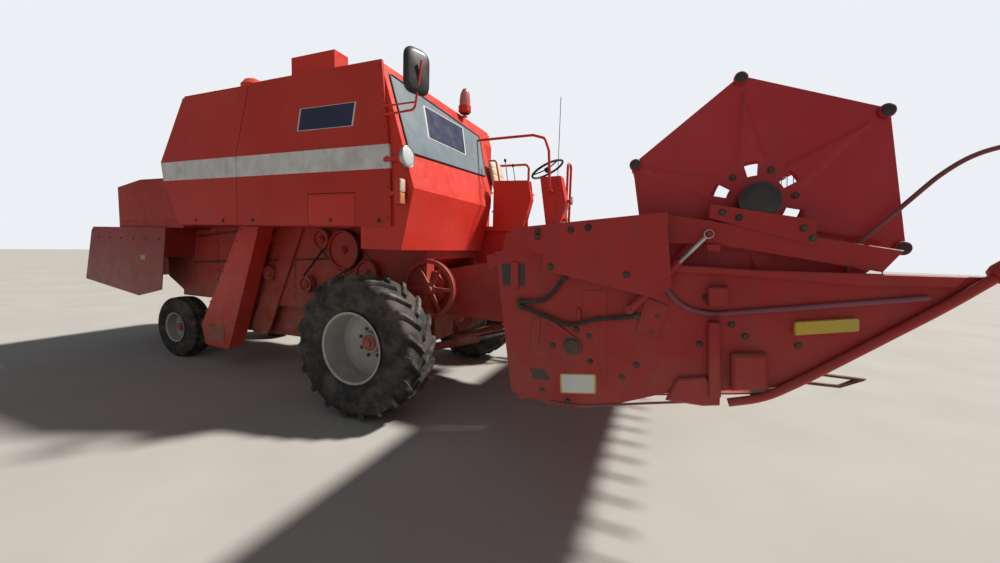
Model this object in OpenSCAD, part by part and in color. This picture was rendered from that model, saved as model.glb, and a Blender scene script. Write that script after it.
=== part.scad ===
// Combine harvester with a reel header held raised, an open operator's platform and a folded unloading auger.
// X points the way it drives, Y to its left, Z up. The header is held raised, as parked.

/* [Wheels] */
// Radius of the front drive tyre out to its lugs
front_tyre_r = 715; // [680:5:730]
// Width of the front drive tyre
front_tyre_w = 470; // [430:5:480]
// Distance from the centre plane to the middle of a front tyre
front_track_y = 1228; // [1225:1:1300]
// Radius of the flange of the front rim
front_rim_r = 355; // [330:5:370]
// Radius of the rear steering tyre
rear_tyre_r = 435; // [420:5:440]
// Width of the rear steering tyre
rear_tyre_w = 300; // [260:5:310]
// Distance from the centre plane to the middle of a rear tyre
rear_track_y = 740; // [735:1:800]
// Radius of the flange of the rear rim
rear_rim_r = 215; // [205:5:230]
// Distance between the front and the rear axle
wheelbase = 3756; // [3740:1:3800]
// Place of the front axle in the machine's own length
front_axle_x = 615; // [500:1:700]

/* [Threshing body] */
// Half width of the threshing body over its side sheets
body_half_w = 660; // [650:5:680]
// Thickness of the side sheets, walls and covers
sheet_t = 8; // [6:1:10]
// Height of the roof of the threshing body
body_top_z = 1890; // [1880:1:1892]
// Height of the floor of the threshing body
body_floor_z = 960; // [955:1:970]

/* [Grain tank] */
// Height of the open rim of the tank
tank_top_z = 3425; // [3380:5:3450]
// Height of the crease across the tank's front
tank_crease_z = 2250; // [2230:5:2270]
// How far the crease stands ahead of the front axle
tank_crease_x = 557; // [540:1:560]
// Outer plane of the side panels
panel_y = 1250; // [1245:1:1290]
// Thickness of a side panel over its folded edges
panel_t = 28; // [20:1:28]

/* [Header] */
// Half width of the header over its end sheets
header_half_w = 2420; // [2400:5:2500]
// Thickness of an end sheet
end_sheet_t = 10; // [8:1:12]
// Outer radius of the flights of the crop auger
auger_r = 250; // [220:5:260]
// Radius of the tube of the crop auger
auger_tube_r = 150; // [120:5:160]
// Pitch of the flights of the crop auger
auger_pitch = 480; // [400:10:560]
// Radius from the reel's shaft to its tine bars
reel_r = 545; // [500:5:550]
// Length of a reel tine below its bar
tine_len = 150; // [110:5:160]
// Angle of the first reel arm above the horizontal
reel_phase = 40; // [30:1:45]
// Angle at which the header is held
lift_deg = 14; // [12:0.5:15]

/* [Unloading auger] */
// Outer radius of the unloading tube
unload_r = 150; // [130:5:155]
// Length of the unloading tube from its turning axis
unload_len = 3850; // [3400:50:3900]
// Height of the axis of the folded unloading tube
unload_z = 3050; // [3000:10:3100]

/* [Hidden] */
$fn = 48;
clear = 0.3;
door_gap = 6;

// Centre of the wheels above the ground, and the pivot of the header's lift
front_z = front_tyre_r;
rear_z = rear_tyre_r;
lift_x = 400;
lift_z = 1250;

// Frame rails under the threshing body
rail_w = 60;
rail_low_z = 880;
body_rear_x = -4250;
hood_front_x = -2910;

// Towing plate behind the rear axle
hitch_x = -3970;
hitch_z = 905;
hitch_r = 16;

// Grain tank and its side panels
tank_half_w = panel_y - panel_t;
tank_left_y = 950;
tank_low_z = 1672;
tank_low_x = 420;
tank_nose_x = -60;
tank_foot_y = 555;
tank_rear_x = -1480;
tank_step_x = 250;
slant_x = 0.3231;
panel_low_z = 1896;
bay_rear_x = -3200;
bay_step_z = 2542;
deck_z = 2000;

// Header geometry in the table's own frame, from the lift pivot
auger_x = 1870;
auger_z = -470;
trough_r = auger_r + 38;
table_t = 6;
table_half_w = header_half_w - end_sheet_t;
knife_x = 2600;
knife_z = -770;
arm_x = 1700;
arm_z = 122;
reel_x = 2777;
reel_z = 37;
reel_half_w = 2310;
arm_in_y = header_half_w - 54;
arm_out_y = header_half_w - 18;

// A block between two corners
module block(a, b) {
    translate(a) cube(b - a);
}

// An outline in X and Z drawn out along Y
module slab(y0, y1, outline) {
    translate([0, y1, 0]) rotate([90, 0, 0]) linear_extrude(y1 - y0) polygon(outline);
}

// An outline in Y and Z drawn out along X
module cross(x0, x1, outline) {
    translate([x0, 0, 0]) rotate([90, 0, 90]) linear_extrude(x1 - x0) polygon(outline);
}

// A round bar along Y at X, Z
module across(x, z, y0, y1, r) {
    translate([x, y0, z]) rotate([-90, 0, 0]) cylinder(h = y1 - y0, r = r);
}

// A round bar along X at Y, Z
module along(y, z, x0, x1, r) {
    translate([x0, y, z]) rotate([0, 90, 0]) cylinder(h = x1 - x0, r = r);
}

// A round bar along Z at X, Y
module up(x, y, z0, z1, r) {
    translate([x, y, z0]) cylinder(h = z1 - z0, r = r);
}

// A round bar between two points
module rod(a, b, r) {
    d = b - a;
    translate(a) rotate([0, acos(d.z / norm(d)), atan2(d.y, d.x)]) cylinder(h = norm(d), r = r);
}

// A tube of radius r bent through a list of points, with the given bending radius on its axis.
// The bends are a hair thicker, and the straight lengths go a little way into them.
module bent_tube(points, r, bend) {
    n = len(points) - 1;
    bend_r = r + 0.5;
    lap = 2;
    ways = [for (i = [0 : n - 1]) (points[i + 1] - points[i]) / norm(points[i + 1] - points[i])];
    turns = [for (i = [1 : n - 1]) acos(ways[i - 1] * ways[i])];
    cuts = [for (i = [0 : n]) i == 0 || i == n ? 0 : bend * tan(turns[i - 1] / 2)];
    laps = [for (i = [0 : n]) i == 0 || i == n ? 0 : lap];
    for (i = [0 : n - 1])
        rod(points[i] + ways[i] * (cuts[i] - laps[i]), points[i + 1] - ways[i] * (cuts[i + 1] - laps[i + 1]), r);
    for (i = [1 : n - 1]) {
        way = ways[i - 1];
        lean = ways[i] - way * (way * ways[i]);
        inward = lean / norm(lean);
        middle = points[i] - way * cuts[i] + inward * bend;
        axis = cross(-inward, way);
        multmatrix([[-inward.x, way.x, axis.x, middle.x], [-inward.y, way.y, axis.y, middle.y],
            [-inward.z, way.z, axis.z, middle.z]])
            rotate_extrude(angle = turns[i - 1]) translate([bend, 0]) circle(r = bend_r);
    }
}

// The same on both sides of the machine
module both_sides() {
    children();
    mirror([0, 1, 0]) children();
}

// Machine frame, with the front axle at its place in the length
module placed() {
    translate([front_axle_x, 0, 0]) children();
}

// Table frame of the header, turned up by the lift
module on_lift() {
    placed() translate([lift_x, 0, lift_z]) rotate([0, -lift_deg, 0]) children();
}

axle_bore_r = 20;
lift_eye_y = 380;
barrel_r = 45;

module front_axle() {
    color("firebrick") placed() difference() {
        union() {
            block([-90, -800, front_z - 75], [90, 800, front_z + 85]);
            block([-180, -230, front_z - 155], [200, 230, front_z + 165 - 5]);
            both_sides() {
                across(0, front_z, 800, 965, 225);
                across(0, front_z, 965, front_track_y - 130, 120);
                block([-90, body_half_w - rail_w, front_z + 85], [90, body_half_w, rail_low_z]);
                for (y = [lift_eye_y - 42, lift_eye_y + 30])
                    slab(y, y + 12, [[80, front_z + 60], [80, front_z - 70], [140, 470], [215, 470], [215, 535]]);
                across(180, 500, lift_eye_y - 55, lift_eye_y + 55, axle_bore_r);
            }
        }
        both_sides() across(0, front_z, front_track_y - 160, front_track_y, 40);
    }
}

module main_frame() {
    color("firebrick") placed() {
        difference() {
            union() {
                both_sides() block([body_rear_x + 350, body_half_w - rail_w, rail_low_z],
                    [250, body_half_w, body_floor_z]);
                for (x = [-wheelbase - 50, -1020, 150])
                    block([x, rail_w - body_half_w, rail_low_z + 8], [x + 100, body_half_w - rail_w, body_floor_z]);
                for (x = [-wheelbase - 96, -wheelbase + 76])
                    block([x, -70, rear_z + 190], [x + 20, 70, rail_low_z + 8]);
                block([-wheelbase - 96, -70, rail_low_z - 20], [-wheelbase + 96, 70, rail_low_z + 8]);
                block([hitch_x - 40, -60, hitch_z - 10], [-wheelbase - 40, 60, hitch_z + 10]);
            }
            up(hitch_x, 0, hitch_z - 11, hitch_z + 11, hitch_r);
            along(0, rear_z + 260, -wheelbase - 110, -wheelbase + 110, 25 + clear);
        }
    }
}

module threshing_body() {
    color("firebrick") placed() difference() {
        slab(-body_half_w, body_half_w, [[350, body_floor_z], [350, tank_low_z - clear],
            [tank_nose_x, tank_low_z - clear], [tank_nose_x, body_top_z], [-3250, body_top_z], [-3250, 1852],
            [body_rear_x, 1852], [body_rear_x, 1150], [body_rear_x + 350, body_floor_z]]);
        slab(sheet_t - body_half_w, body_half_w - sheet_t, [[-1000, body_floor_z + sheet_t],
            [-1000, body_top_z - sheet_t], [-3000, body_top_z - sheet_t], [-3000, 1950], [body_rear_x - 50, 1950],
            [body_rear_x - 50, 900], [body_rear_x + 350, body_floor_z - 60], [body_rear_x + 600, body_floor_z - 60],
            [body_rear_x + 600, body_floor_z + sheet_t]]);
        across(lift_x, lift_z, -feeder_half_w - 12, feeder_half_w + 12, feeder_swing_r);
    }
    color("firebrick") placed() both_sides() difference() {
        slab(feeder_half_w + 15, feeder_half_w + 60, [[345, 1060], [345, 1440], [400, 1440], [510, 1330],
            [510, 1170], [400, 1060]]);
        across(lift_x, lift_z, feeder_half_w + 14, feeder_half_w + 61, trunnion_r + clear);
    }
}

module cleaning_shoe() {
    color("brown") placed() difference() {
        union() {
            slab(-560, 560, [[-1060, body_floor_z - 75], [-1060, 600], [-1450, 470], [-3080, 450],
                [-3560, body_floor_z - 75]]);
            block([-3540, -560, body_floor_z - 75.01], [-1100, 560, body_floor_z]);
            across(-800, 640, -560, 560, 265);
        }
        both_sides() block([-3700, 450, 300], [-3100, 561, body_floor_z - 76]);
        both_sides() across(-800, 640, 530, 561, 170);
        both_sides() across(-800, 640, 380, 531, 60);
    }
}

// Stepped racks that toss the straw back, on two crankshafts
module straw_walkers() {
    steps = 5;
    step_x = 640;
    color("silver") placed() union() {
        for (y = [-480 : 240 : 480])
            slab(y - 95, y + 95, concat([[-1250, 1150]],
                [for (i = [0 : steps - 1], k = [0, 1]) [-1250 - (i + k) * step_x, 1230 + i * 75 + k * 150]],
                [[-1250 - steps * step_x, 1480]]));
        for (p = [[-1500, 1190], [-3700, 1440]])
            across(p[0], p[1], sheet_t - body_half_w, body_half_w - sheet_t, 30);
    }
}

cover_top_z = 1860;
cover_half_w = 1050;
hood_half_w = 1000;

module straw_hood() {
    color("indianred") placed() {
        difference() {
            slab(-hood_half_w, hood_half_w, [[hood_front_x, cover_top_z + 32], [hood_front_x, bay_step_z - 12],
                [-4180, 2530], [-4750, 2440], [-4750, cover_top_z], [-3250, cover_top_z], [-3250, cover_top_z + 32]]);
            slab(sheet_t - hood_half_w, hood_half_w - sheet_t, [[hood_front_x - sheet_t, cover_top_z + 40],
                [hood_front_x - sheet_t, bay_step_z - 12 - sheet_t], [-4179, 2530 - sheet_t],
                [-4750 + sheet_t, 2440 - sheet_t], [-4750 + sheet_t, 1800], [-3258, 1800], [-3258, cover_top_z + 40]]);
        }
    }
}

// Deflector hood that turns the straw down behind the walkers, open below
module rear_cover() {
    t = sheet_t;
    outer = [[-3550, cover_top_z - clear], [-5350, cover_top_z - clear], [-5410, 1800], [-5650, 1050],
        [-4250, 880], [-3700, 1000]];
    color("indianred") placed() difference() {
        slab(-cover_half_w, cover_half_w, outer);
        slab(t - cover_half_w, cover_half_w - t, [[-3550 - t, cover_top_z - t], [-5345, cover_top_z - t],
            [-5402, 1800], [-5650 + t, 1050], [-5700, 800], [-4200, 700], [-3700 - t, 900]]);
        slab(t - hood_half_w, hood_half_w - t, [[-3560, cover_top_z - 20], [-3560, cover_top_z + 10],
            [-4750 + t, cover_top_z + 10], [-4750 + t, cover_top_z - 20]]);
        block([-3720, -body_half_w - clear, 850], [-3500, body_half_w + clear, cover_top_z + 10]);
    }
}

module grain_elevator() {
    color("firebrick") placed() {
        mirror([0, 1, 0]) {
            slab(750, 950, [[-1870, body_top_z], [-2210, body_top_z], [-3030, 560], [-2950, 300], [-2500, 280],
                [-2430, 430]]);
            across(-2760, 500, body_half_w, 750, 60);
            block([-2180, body_half_w, 1700], [-1980, 750, 1800]);
        }
        slab(750, 900, [[-1500, body_top_z], [-1740, body_top_z], [-2350, 640], [-2330, 480], [-2050, 470],
            [-1990, 560]]);
        across(-2180, 600, body_half_w, 750, 55);
        block([-1700, body_half_w, 1700], [-1540, 750, 1790]);
    }
}

// Each pulley is [x, z, radius, y of its inner face, width]
pulleys = [[-1100, 1760, 120, 690, 50], [-750, 1640, 225, 690, 60], [-1350, 1200, 100, 690, 60],
    [-420, 1380, 150, 690, 50], [-2000, 1300, 90, 690, 50]];
sheave_r = 320;

module drive_pulleys() {
    color("firebrick") placed() mirror([0, 1, 0]) {
        for (p = pulleys) {
            across(p[0], p[1], p[3], p[3] + p[4], p[2]);
            across(p[0], p[1], body_half_w, p[3], 30);
            across(p[0], p[1], p[3] + p[4], p[3] + p[4] + 25, 25);
        }
        difference() {
            across(lift_x, lift_z, 672, 722, sheave_r);
            across(lift_x, lift_z, 671, 723, sheave_r - 40);
        }
        for (a = [0 : 60 : 300])
            translate([lift_x, 685, lift_z]) rotate([0, a, 0]) block([30, 0, -16], [sheave_r - 30, 20, 16]);
        across(lift_x, lift_z, feeder_half_w + 60 + clear, feeder_half_w + 75, 48);
        across(lift_x, lift_z, feeder_half_w + 74, 735, 45);
    }
}

// Tank's side outline, set in by t from its outer faces
function tank_side(t) = [
    [tank_low_x - t, tank_low_z + t],
    [tank_crease_x - t * 1.1, tank_crease_z - t * 0.1],
    [tank_crease_x - (tank_top_z - tank_crease_z) * slant_x - t * 1.05, tank_top_z + t],
    [tank_rear_x + t, tank_top_z + t],
    [tank_rear_x + t, body_top_z + clear + t],
    [tank_nose_x + clear + t, body_top_z + clear + t],
    [tank_nose_x + clear + t, tank_low_z + t]];

// Tank's outline from the front, set in by t
function tank_front(t) = [
    [t - tank_half_w, tank_low_z],
    [t - tank_half_w, tank_top_z + t],
    [tank_left_y - t, tank_top_z + t],
    [tank_left_y - t, 2720],
    [tank_foot_y - t, tank_crease_z],
    [tank_foot_y - t, tank_low_z]];

module tank_form(t) {
    intersection() {
        slab(-tank_half_w, tank_half_w, tank_side(t));
        union() {
            cross(tank_rear_x, 700, tank_front(t));
            block([tank_rear_x, t - tank_half_w, body_top_z + clear + t],
                [tank_step_x - t, tank_half_w - t, tank_top_z + t]);
        }
    }
}

module grain_tank() {
    color("orangered") placed() {
        difference() {
            tank_form(0);
            tank_form(sheet_t);
        }
    }
}

// Grey panel let into the slanted front of the tank, behind a rubber edge
module tank_front_panel() {
    a = atan(slant_x);
    color("slategray") placed() translate([tank_crease_x, 0, tank_crease_z]) rotate([0, -a, 0])
        translate([clear, 0, 0]) cross(0, 6, [[-1150, 360], [-1140, 1150], [820, 1060], [660, 450]]);
}

// Side panel outline, from the front bottom corner round
panel_front_x = 307;
panel_top_x = 206;
panel_top_z = 3431;
panel_rear_top = [-2721, 3404];
panel_rear = [-3211, 2669];
panel_rear_low = [-3171, 2430];
panel_low_rear = [-2903, panel_low_z];
seam_top = [-1570, 3404];
seam_mid = [-1810, 2678];
seam_low = [-1810, panel_low_z];
hatch = [-727, -110, 1904, 2210];

// Doors hang on pins along their top edges
door_t = 18;
hinge_r = 8;
hinge_pin_r = 4;
hinge_z = 3412;
hinge_lugs = [seam_top[0] - 30, -2150, panel_rear_top[0] + 30];
hatch_pin = [panel_y - 12, hatch[3]];

module folded_panel(outline, y = panel_y) {
    slab(y - panel_t, y, outline);
}

module side_panel_right() {
    color("orangered") placed() mirror([0, 1, 0]) difference() {
        folded_panel([[323, panel_low_z], [panel_front_x, 2500], [panel_top_x, panel_top_z], [-1200, 3430],
            seam_top + [0, 22], seam_top, seam_mid, seam_low]);
        block([hatch[0] - door_gap, 0, hatch[2] - 20], [hatch[1] + door_gap, panel_y + 1, hatch[3] + 14]);
    }
    color("orangered") placed() mirror([0, 1, 0])
        along(hatch_pin[0], hatch_pin[1], hatch[0] - door_gap - 4, hatch[1] + door_gap + 4, hinge_pin_r);
}

module hatch_door() {
    color("orangered") placed() mirror([0, 1, 0]) difference() {
        union() {
            block([hatch[0], panel_y - door_t, hatch[2]], [hatch[1], panel_y, hatch[3] - 8]);
            along(hatch_pin[0], hatch_pin[1], hatch[0], hatch[1], hinge_r);
        }
        along(hatch_pin[0], hatch_pin[1], hatch[0] - 1, hatch[1] + 1, hinge_pin_r + clear);
    }
}

module engine_door() {
    low = hinge_z - 14;
    color("orangered") placed() mirror([0, 1, 0]) difference() {
        union() {
            slab(panel_y - door_t, panel_y, [[seam_top[0] - 13, low], [panel_rear_top[0], low], panel_rear,
                panel_rear_low, panel_low_rear, seam_low - [door_gap, 0], seam_mid - [door_gap + 4, 0]]);
            for (i = [0, 1]) {
                x0 = hinge_lugs[i] - 16;
                x1 = hinge_lugs[i + 1] + 16;
                along(panel_y - 14, hinge_z, x1, x0, hinge_r);
                slab(panel_y - 18, panel_y - 10, [[x1, low - 1], [x0, low - 1], [x0, hinge_z - 4], [x1, hinge_z - 4]]);
            }
        }
        along(panel_y - 14, hinge_z, panel_rear_top[0], seam_top[0], hinge_pin_r + clear);
    }
}

module side_panel_left() {
    color("orangered") placed()
        folded_panel([[100, panel_low_z], [100, panel_top_z - 2], seam_top + [0, 22], panel_rear_top, panel_rear,
            panel_rear_low, panel_low_rear]);
}

bay_front_x = tank_rear_x - clear;

module engine_bay() {
    t = sheet_t;
    color("firebrick") placed() difference() {
        slab(-tank_half_w, tank_half_w - clear, [[bay_front_x, body_top_z + clear], [bay_front_x, 3396],
            [-2721, 3396], [bay_rear_x, 2675], [bay_rear_x, bay_step_z], [hood_front_x + 5, bay_step_z],
            [hood_front_x + 5, body_top_z + clear]]);
        slab(-tank_half_w - 1, tank_half_w - t, [[bay_front_x - t, 1930], [bay_front_x - t, 3396 - t],
            [-2717, 3396 - t], [bay_rear_x + t, 2672], [bay_rear_x + t, bay_step_z + t],
            [hood_front_x + 5 + t, bay_step_z + t], [hood_front_x + 5 + t, 1930]]);
        translate([-2960, 0, 3035]) rotate([0, 33.7, 0]) block([-120, -700, -300], [120, 700, 300]);
        for (x = [-2500 : 160 : -1860]) block([x, -500, 3300], [x + 60, 500, 3500]);
    }
    color("firebrick") placed() mirror([0, 1, 0]) {
        for (x = hinge_lugs)
            cross(x - 10, x + 10, [[tank_half_w - 40, 3395], [tank_half_w - 40, 3402], [panel_y - 22, hinge_z + 8],
                [panel_y - 8, hinge_z + 8], [panel_y - 8, hinge_z - 6], [panel_y - 18, hinge_z - 8],
                [tank_half_w - 1, 3395]]);
        along(panel_y - 14, hinge_z, hinge_lugs[2] - 10, hinge_lugs[0] + 10, hinge_pin_r);
    }
}

module engine_grille() {
    color("dimgray") placed() translate([-2960, 0, 3035]) rotate([0, 33.7, 0]) {
        difference() {
            block([-20, -699, -299], [10, 699, 299]);
            block([-21, -660, -260], [11, 660, 260]);
        }
        for (z = [-240 : 60 : 240]) block([-16, -661, z - 8], [6, 661, z + 8]);
    }
}

module engine() {
    color("gray") placed() {
        block([-2700, -330, 2010], [-1800, 330, 2850]);
        for (x = [-2600, -1950], y = [-280, 220]) block([x, y, 1930 + clear], [x + 60, y + 60, 2010]);
    }
}

module air_cleaner() {
    color("firebrick") placed() {
        translate([-2100, -800, 3396 + clear]) rotate_extrude()
            polygon([[0, 0], [60, 0], [60, 170], [140, 190], [140, 230], [95, 290], [40, 314], [0, 316]]);
    }
}

// Closed head of the grain elevator, which stands out of the tank on a bracket from its side wall
module elevator_head() {
    color("firebrick") placed() {
        slab(-950, -750, [[-1280, 3000], [-1280, 3780], [-650, 3780], [-650, 3150], [-800, 3000]]);
        for (x = [-1180, -850]) block([x, -880, 3780], [x + 90, -820, 3800]);
        block([-1200, sheet_t - tank_half_w + clear, 3200], [-750, -950, 3260]);
    }
}

platform_front_x = 1480;
platform_y = [tank_foot_y + 8, 1350];

module platform() {
    color("firebrick") placed() {
        block([tank_step_x + clear, platform_y[0], deck_z - 60], [platform_front_x, platform_y[1], deck_z]);
        slab(body_half_w, body_half_w + 30, [[200, 1400], [349, 1400], [1000, 1900], [1000, deck_z - 59],
            [tank_step_x + clear, deck_z - 59], [tank_step_x + clear, 1660], [200, 1640]]);
    }
}

console_y = 880;

module consoles() {
    color("orangered") placed() {
        slab(platform_y[0], platform_y[0] + 130, [[590, deck_z + clear], [590, 2600], [1070, 2590], [1110, 2350],
            [1020, deck_z + clear]]);
        slab(console_y, console_y + 200, [[1240, deck_z + clear], [1130, 2680], [1410, 2690], [1500, 2320],
            [1410, deck_z + clear]]);
    }
}

wheel_tilt = 28;

module steering_wheel() {
    color("black") placed() translate([1200, console_y + 100, 2800]) rotate([0, -wheel_tilt, 0]) {
        rotate_extrude() translate([225, 0]) circle(r = 15);
        for (a = [90, 210, 330]) rotate([0, 0, a]) along(0, 0, 20, 222, 9);
        translate([0, 0, -30]) cylinder(h = 50, r = 42);
        translate([0, 0, -82]) cylinder(h = 60, r = 22);
    }
}

module seat() {
    color("wheat") placed() {
        slab(720, 1180, [[520, 2425], [950, 2435], [985, 2470], [965, 2520], [525, 2505]]);
        slab(740, 1160, [[505, 2490], [385, 2900], [410, 2930], [465, 2915], [565, 2495]]);
        block([600, 850, deck_z + clear], [860, 1050, 2430]);
    }
}

rail_r = 17;

module handrails() {
    color("firebrick") placed() {
        bent_tube([[275, 700, 3180], [1070, 700, 3190], [1230, 700, 3140], [1290, 700, 2980], [1320, 700, 2480],
            [1320, console_y - clear, 2480]], rail_r, 55);
        bent_tube([[640, 640, 2602], [580, 640, 2880], [480, 640, 2880]], 12, 40);
        bent_tube([[290, 1320, deck_z], [290, 1320, 2950], [820, 1320, 2950], [820, 1320, deck_z]], rail_r, 70);
        bent_tube([[1450, 1120, deck_z], [1450, 1120, 2900], [1450, 1320, 2900], [1450, 1320, deck_z]], rail_r, 70);
    }
}

module ladder() {
    color("firebrick") placed() {
        for (x = [860, 1280])
            for (x = [850, 1270])
            cross(x, x + 10, [[1350 + clear, 1990], [1400, 1990], [1620, 560], [1560, 560], [1350 + clear, 1900]]);
        for (i = [0 : 4])
            block([860, 1400 + i * 40 - 10, 1700 - i * 270], [1270, 1400 + i * 40 + 90, 1720 - i * 270]);
    }
}

module side_mirror() {
    color("black") placed() {
        bent_tube([[235, -panel_y - 12, 2920], [600, -panel_y - 50, 2920], [670, -panel_y - 50, 3300]], 9, 45);
        rod([235, -panel_y - 12, 3000], [612, -panel_y - 50, 2985], 7);
        block([215, -panel_y - 22, 2890], [245, -panel_y - clear, 3030]);
        translate([625, -panel_y - 50, 3240]) rotate([0, 0, 70]) block([-130, -20, -190], [130, 20, 190]);
    }
}

module lamps() {
    color("silver") placed() {
        along(-panel_y - 40, 2515, 505, 570, 95);
        block([panel_front_x + 5, -panel_y - 20, 2495], [506, -panel_y - clear, 2535]);
        block([430, -panel_y - 50, 2080], [480, -panel_y - clear, 2330]);
        block([325, -panel_y - 20, 2180], [431, -panel_y - clear, 2220]);
    }
}

module antenna() {
    color("black") placed() {
        up(1440, 620, deck_z + clear, deck_z + 60, 16);
        up(1440, 620, deck_z + 60, 3600, 4);
    }
}

pin_r = 25;
king_y = 520;
arm_pin = [-130, 35];

module rear_axle() {
    color("firebrick") placed() translate([-wheelbase, 0, rear_z]) {
        difference() {
            union() {
                block([-60, -470, 70], [60, 470, 190]);
                block([-70, -60, 190], [70, 60, 230]);
                along(0, 260, -70, 70, 55);
                both_sides() up(0, king_y, 0, 190, 55);
            }
            both_sides() up(0, king_y, -1, 191, pin_r + clear);
            along(0, 260, -71, 71, 15);
        }
        along(0, 260, -110, 110, pin_r);
    }
}

module steering_rod() {
    color("gray") placed() translate([-wheelbase, 0, rear_z]) {
        translate([0, 0, -118]) both_sides() up(arm_pin[0], king_y - arm_pin[1], 0, 30, 24);
        across(arm_pin[0], -103, -king_y + arm_pin[1], king_y - arm_pin[1], 14);
    }
}

module knuckle() {
    translate([-wheelbase, 0, rear_z]) {
        up(0, king_y, -60, 240, pin_r);
        up(0, king_y, -60, -clear, 50);
        up(0, king_y, 190 + clear, 225, 50);
        block([-40, king_y - 20, -60], [40, king_y + 60, -30]);
        across(0, 0, king_y + 57, rear_track_y + 60, 35);
        block([-45, king_y + 57, -60], [45, king_y + 69, 215]);
        block([-45, king_y, 195], [45, king_y + 69, 225]);
        block([arm_pin[0] - 24, king_y - arm_pin[1] - 24, -87.7], [40, king_y + 20, -60]);
    }
}

module knuckle_left() {
    color("firebrick") placed() knuckle();
}

module knuckle_right() {
    color("firebrick") placed() mirror([0, 1, 0]) knuckle();
}

// Section of a tyre over its rim, as radius and place across the width
function tyre_section(r, w, rim_r) = [
    [rim_r - 14, -w * 0.40], [rim_r + 22, -w * 0.42], [rim_r + (r - rim_r) * 0.42, -w * 0.5],
    [rim_r + (r - rim_r) * 0.68, -w * 0.49], [r - 34, -w * 0.44], [r - 8, -w * 0.36], [r, -w * 0.2],
    [r, w * 0.2], [r - 8, w * 0.36], [r - 34, w * 0.44], [rim_r + (r - rim_r) * 0.68, w * 0.49],
    [rim_r + (r - rim_r) * 0.42, w * 0.5], [rim_r + 22, w * 0.42], [rim_r - 14, w * 0.40]];

module tyre(r, w, rim_r) {
    rotate([-90, 0, 0]) rotate_extrude($fn = 96) polygon(tyre_section(r, w, rim_r));
}

module rim(rim_r, w, dish, bore_r, hub_r, disc_y) {
    t = 8;
    rotate([-90, 0, 0]) {
        rotate_extrude($fn = 96) polygon([
            [rim_r - 14 - clear, -w * 0.40], [rim_r, -w * 0.44], [rim_r, -w * 0.44 - 8],
            [rim_r - 14 - clear - t, -w * 0.44], [rim_r - 14 - clear - t, w * 0.44], [rim_r, w * 0.44 + 8],
            [rim_r, w * 0.44], [rim_r - 14 - clear, w * 0.40]]);
        rotate_extrude($fn = 96) polygon([[bore_r, disc_y], [hub_r, disc_y], [rim_r * 0.72, disc_y + dish],
            [rim_r - 14 - clear - t + 0.1, disc_y + dish], [rim_r - 14 - clear - t + 0.1, disc_y + dish + 12],
            [rim_r * 0.72, disc_y + dish + 12], [hub_r + 8, disc_y + 12], [hub_r, disc_y + 70],
            [bore_r, disc_y + 70]]);
    }
}

module front_wheel_place() {
    placed() translate([0, front_track_y, front_z]) children();
}

module rear_wheel_place() {
    placed() translate([-wheelbase, rear_track_y, rear_z]) children();
}

module tyre_front_left() {
    color("dimgray") front_wheel_place() tyre(front_tyre_r, front_tyre_w, front_rim_r);
}

module tyre_front_right() {
    color("dimgray") mirror([0, 1, 0]) front_wheel_place() tyre(front_tyre_r, front_tyre_w, front_rim_r);
}

module rim_front_left() {
    color("silver") front_wheel_place() front_rim();
}

module rim_front_right() {
    color("silver") mirror([0, 1, 0]) front_wheel_place() front_rim();
}

module front_rim() {
    rim(front_rim_r, front_tyre_w, 60, 0, 100, -130 + clear);
}

module rear_rim() {
    rim(rear_rim_r, rear_tyre_w, 30, 35 + clear, 70, -20);
}

module tyre_rear_left() {
    color("dimgray") rear_wheel_place() tyre(rear_tyre_r, rear_tyre_w, rear_rim_r);
}

module tyre_rear_right() {
    color("dimgray") mirror([0, 1, 0]) rear_wheel_place() tyre(rear_tyre_r, rear_tyre_w, rear_rim_r);
}

module rim_rear_left() {
    color("silver") rear_wheel_place() rear_rim();
}

module rim_rear_right() {
    color("silver") mirror([0, 1, 0]) rear_wheel_place() rear_rim();
}

turret = [-350, 1425];

module unloader_base() {
    color("firebrick") placed() {
        up(turret[0], turret[1], 1980, unload_z - 262, 150);
        up(turret[0], turret[1], unload_z - 290, unload_z - 262, 170);
        across(turret[0], 2120, panel_y + clear, turret[1], 130);
        block([-2900, panel_y + clear, 2860], [-2840, 1600, 2890]);
    }
}

module unloader_tube() {
    color("orangered") placed() translate([turret[0], turret[1], unload_z]) {
        translate([0, 0, -262 + clear]) cylinder(h = 28, r = 170);
        translate([0, 0, -240]) cylinder(h = 400, r = 160);
        rotate([0, -90, 0]) cylinder(h = unload_len, r = unload_r);
        translate([-unload_len, 0, 0]) rotate([0, 180, 0]) translate([-20, 0, 0]) cylinder(h = 230, r = 130);
    }
}

// Lift cylinders, from the eye on the axle to the eye under the feeder house
lift_a = [180, 500];
lift_b = [876, -620];
function lift_point(p) = [lift_x + p[0] * cos(lift_deg) - p[1] * sin(lift_deg),
    lift_z + p[0] * sin(lift_deg) + p[1] * cos(lift_deg)];
lift_b_place = lift_point(lift_b);
lift_len = norm(lift_b_place - lift_a);
// The rod's eye drifts round its pin as the header moves
lift_drift = 7.5;
lift_slope = atan2(lift_b_place[1] - lift_a[1], lift_b_place[0] - lift_a[0]);

module lift_line() {
    placed() both_sides() translate([lift_a[0], lift_eye_y, lift_a[1]]) rotate([0, -lift_slope, 0]) children();
}

module lift_barrels() {
    color("firebrick") lift_line() difference() {
        union() {
            across(0, 0, -28, 28, 45);
            along(0, 0, 30, 130, 27);
            along(0, 0, 110, 700, barrel_r);
        }
        across(0, 0, -29, 29, axle_bore_r + clear);
        along(0, 0, 90, 701, 25 + clear);
    }
}

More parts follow.
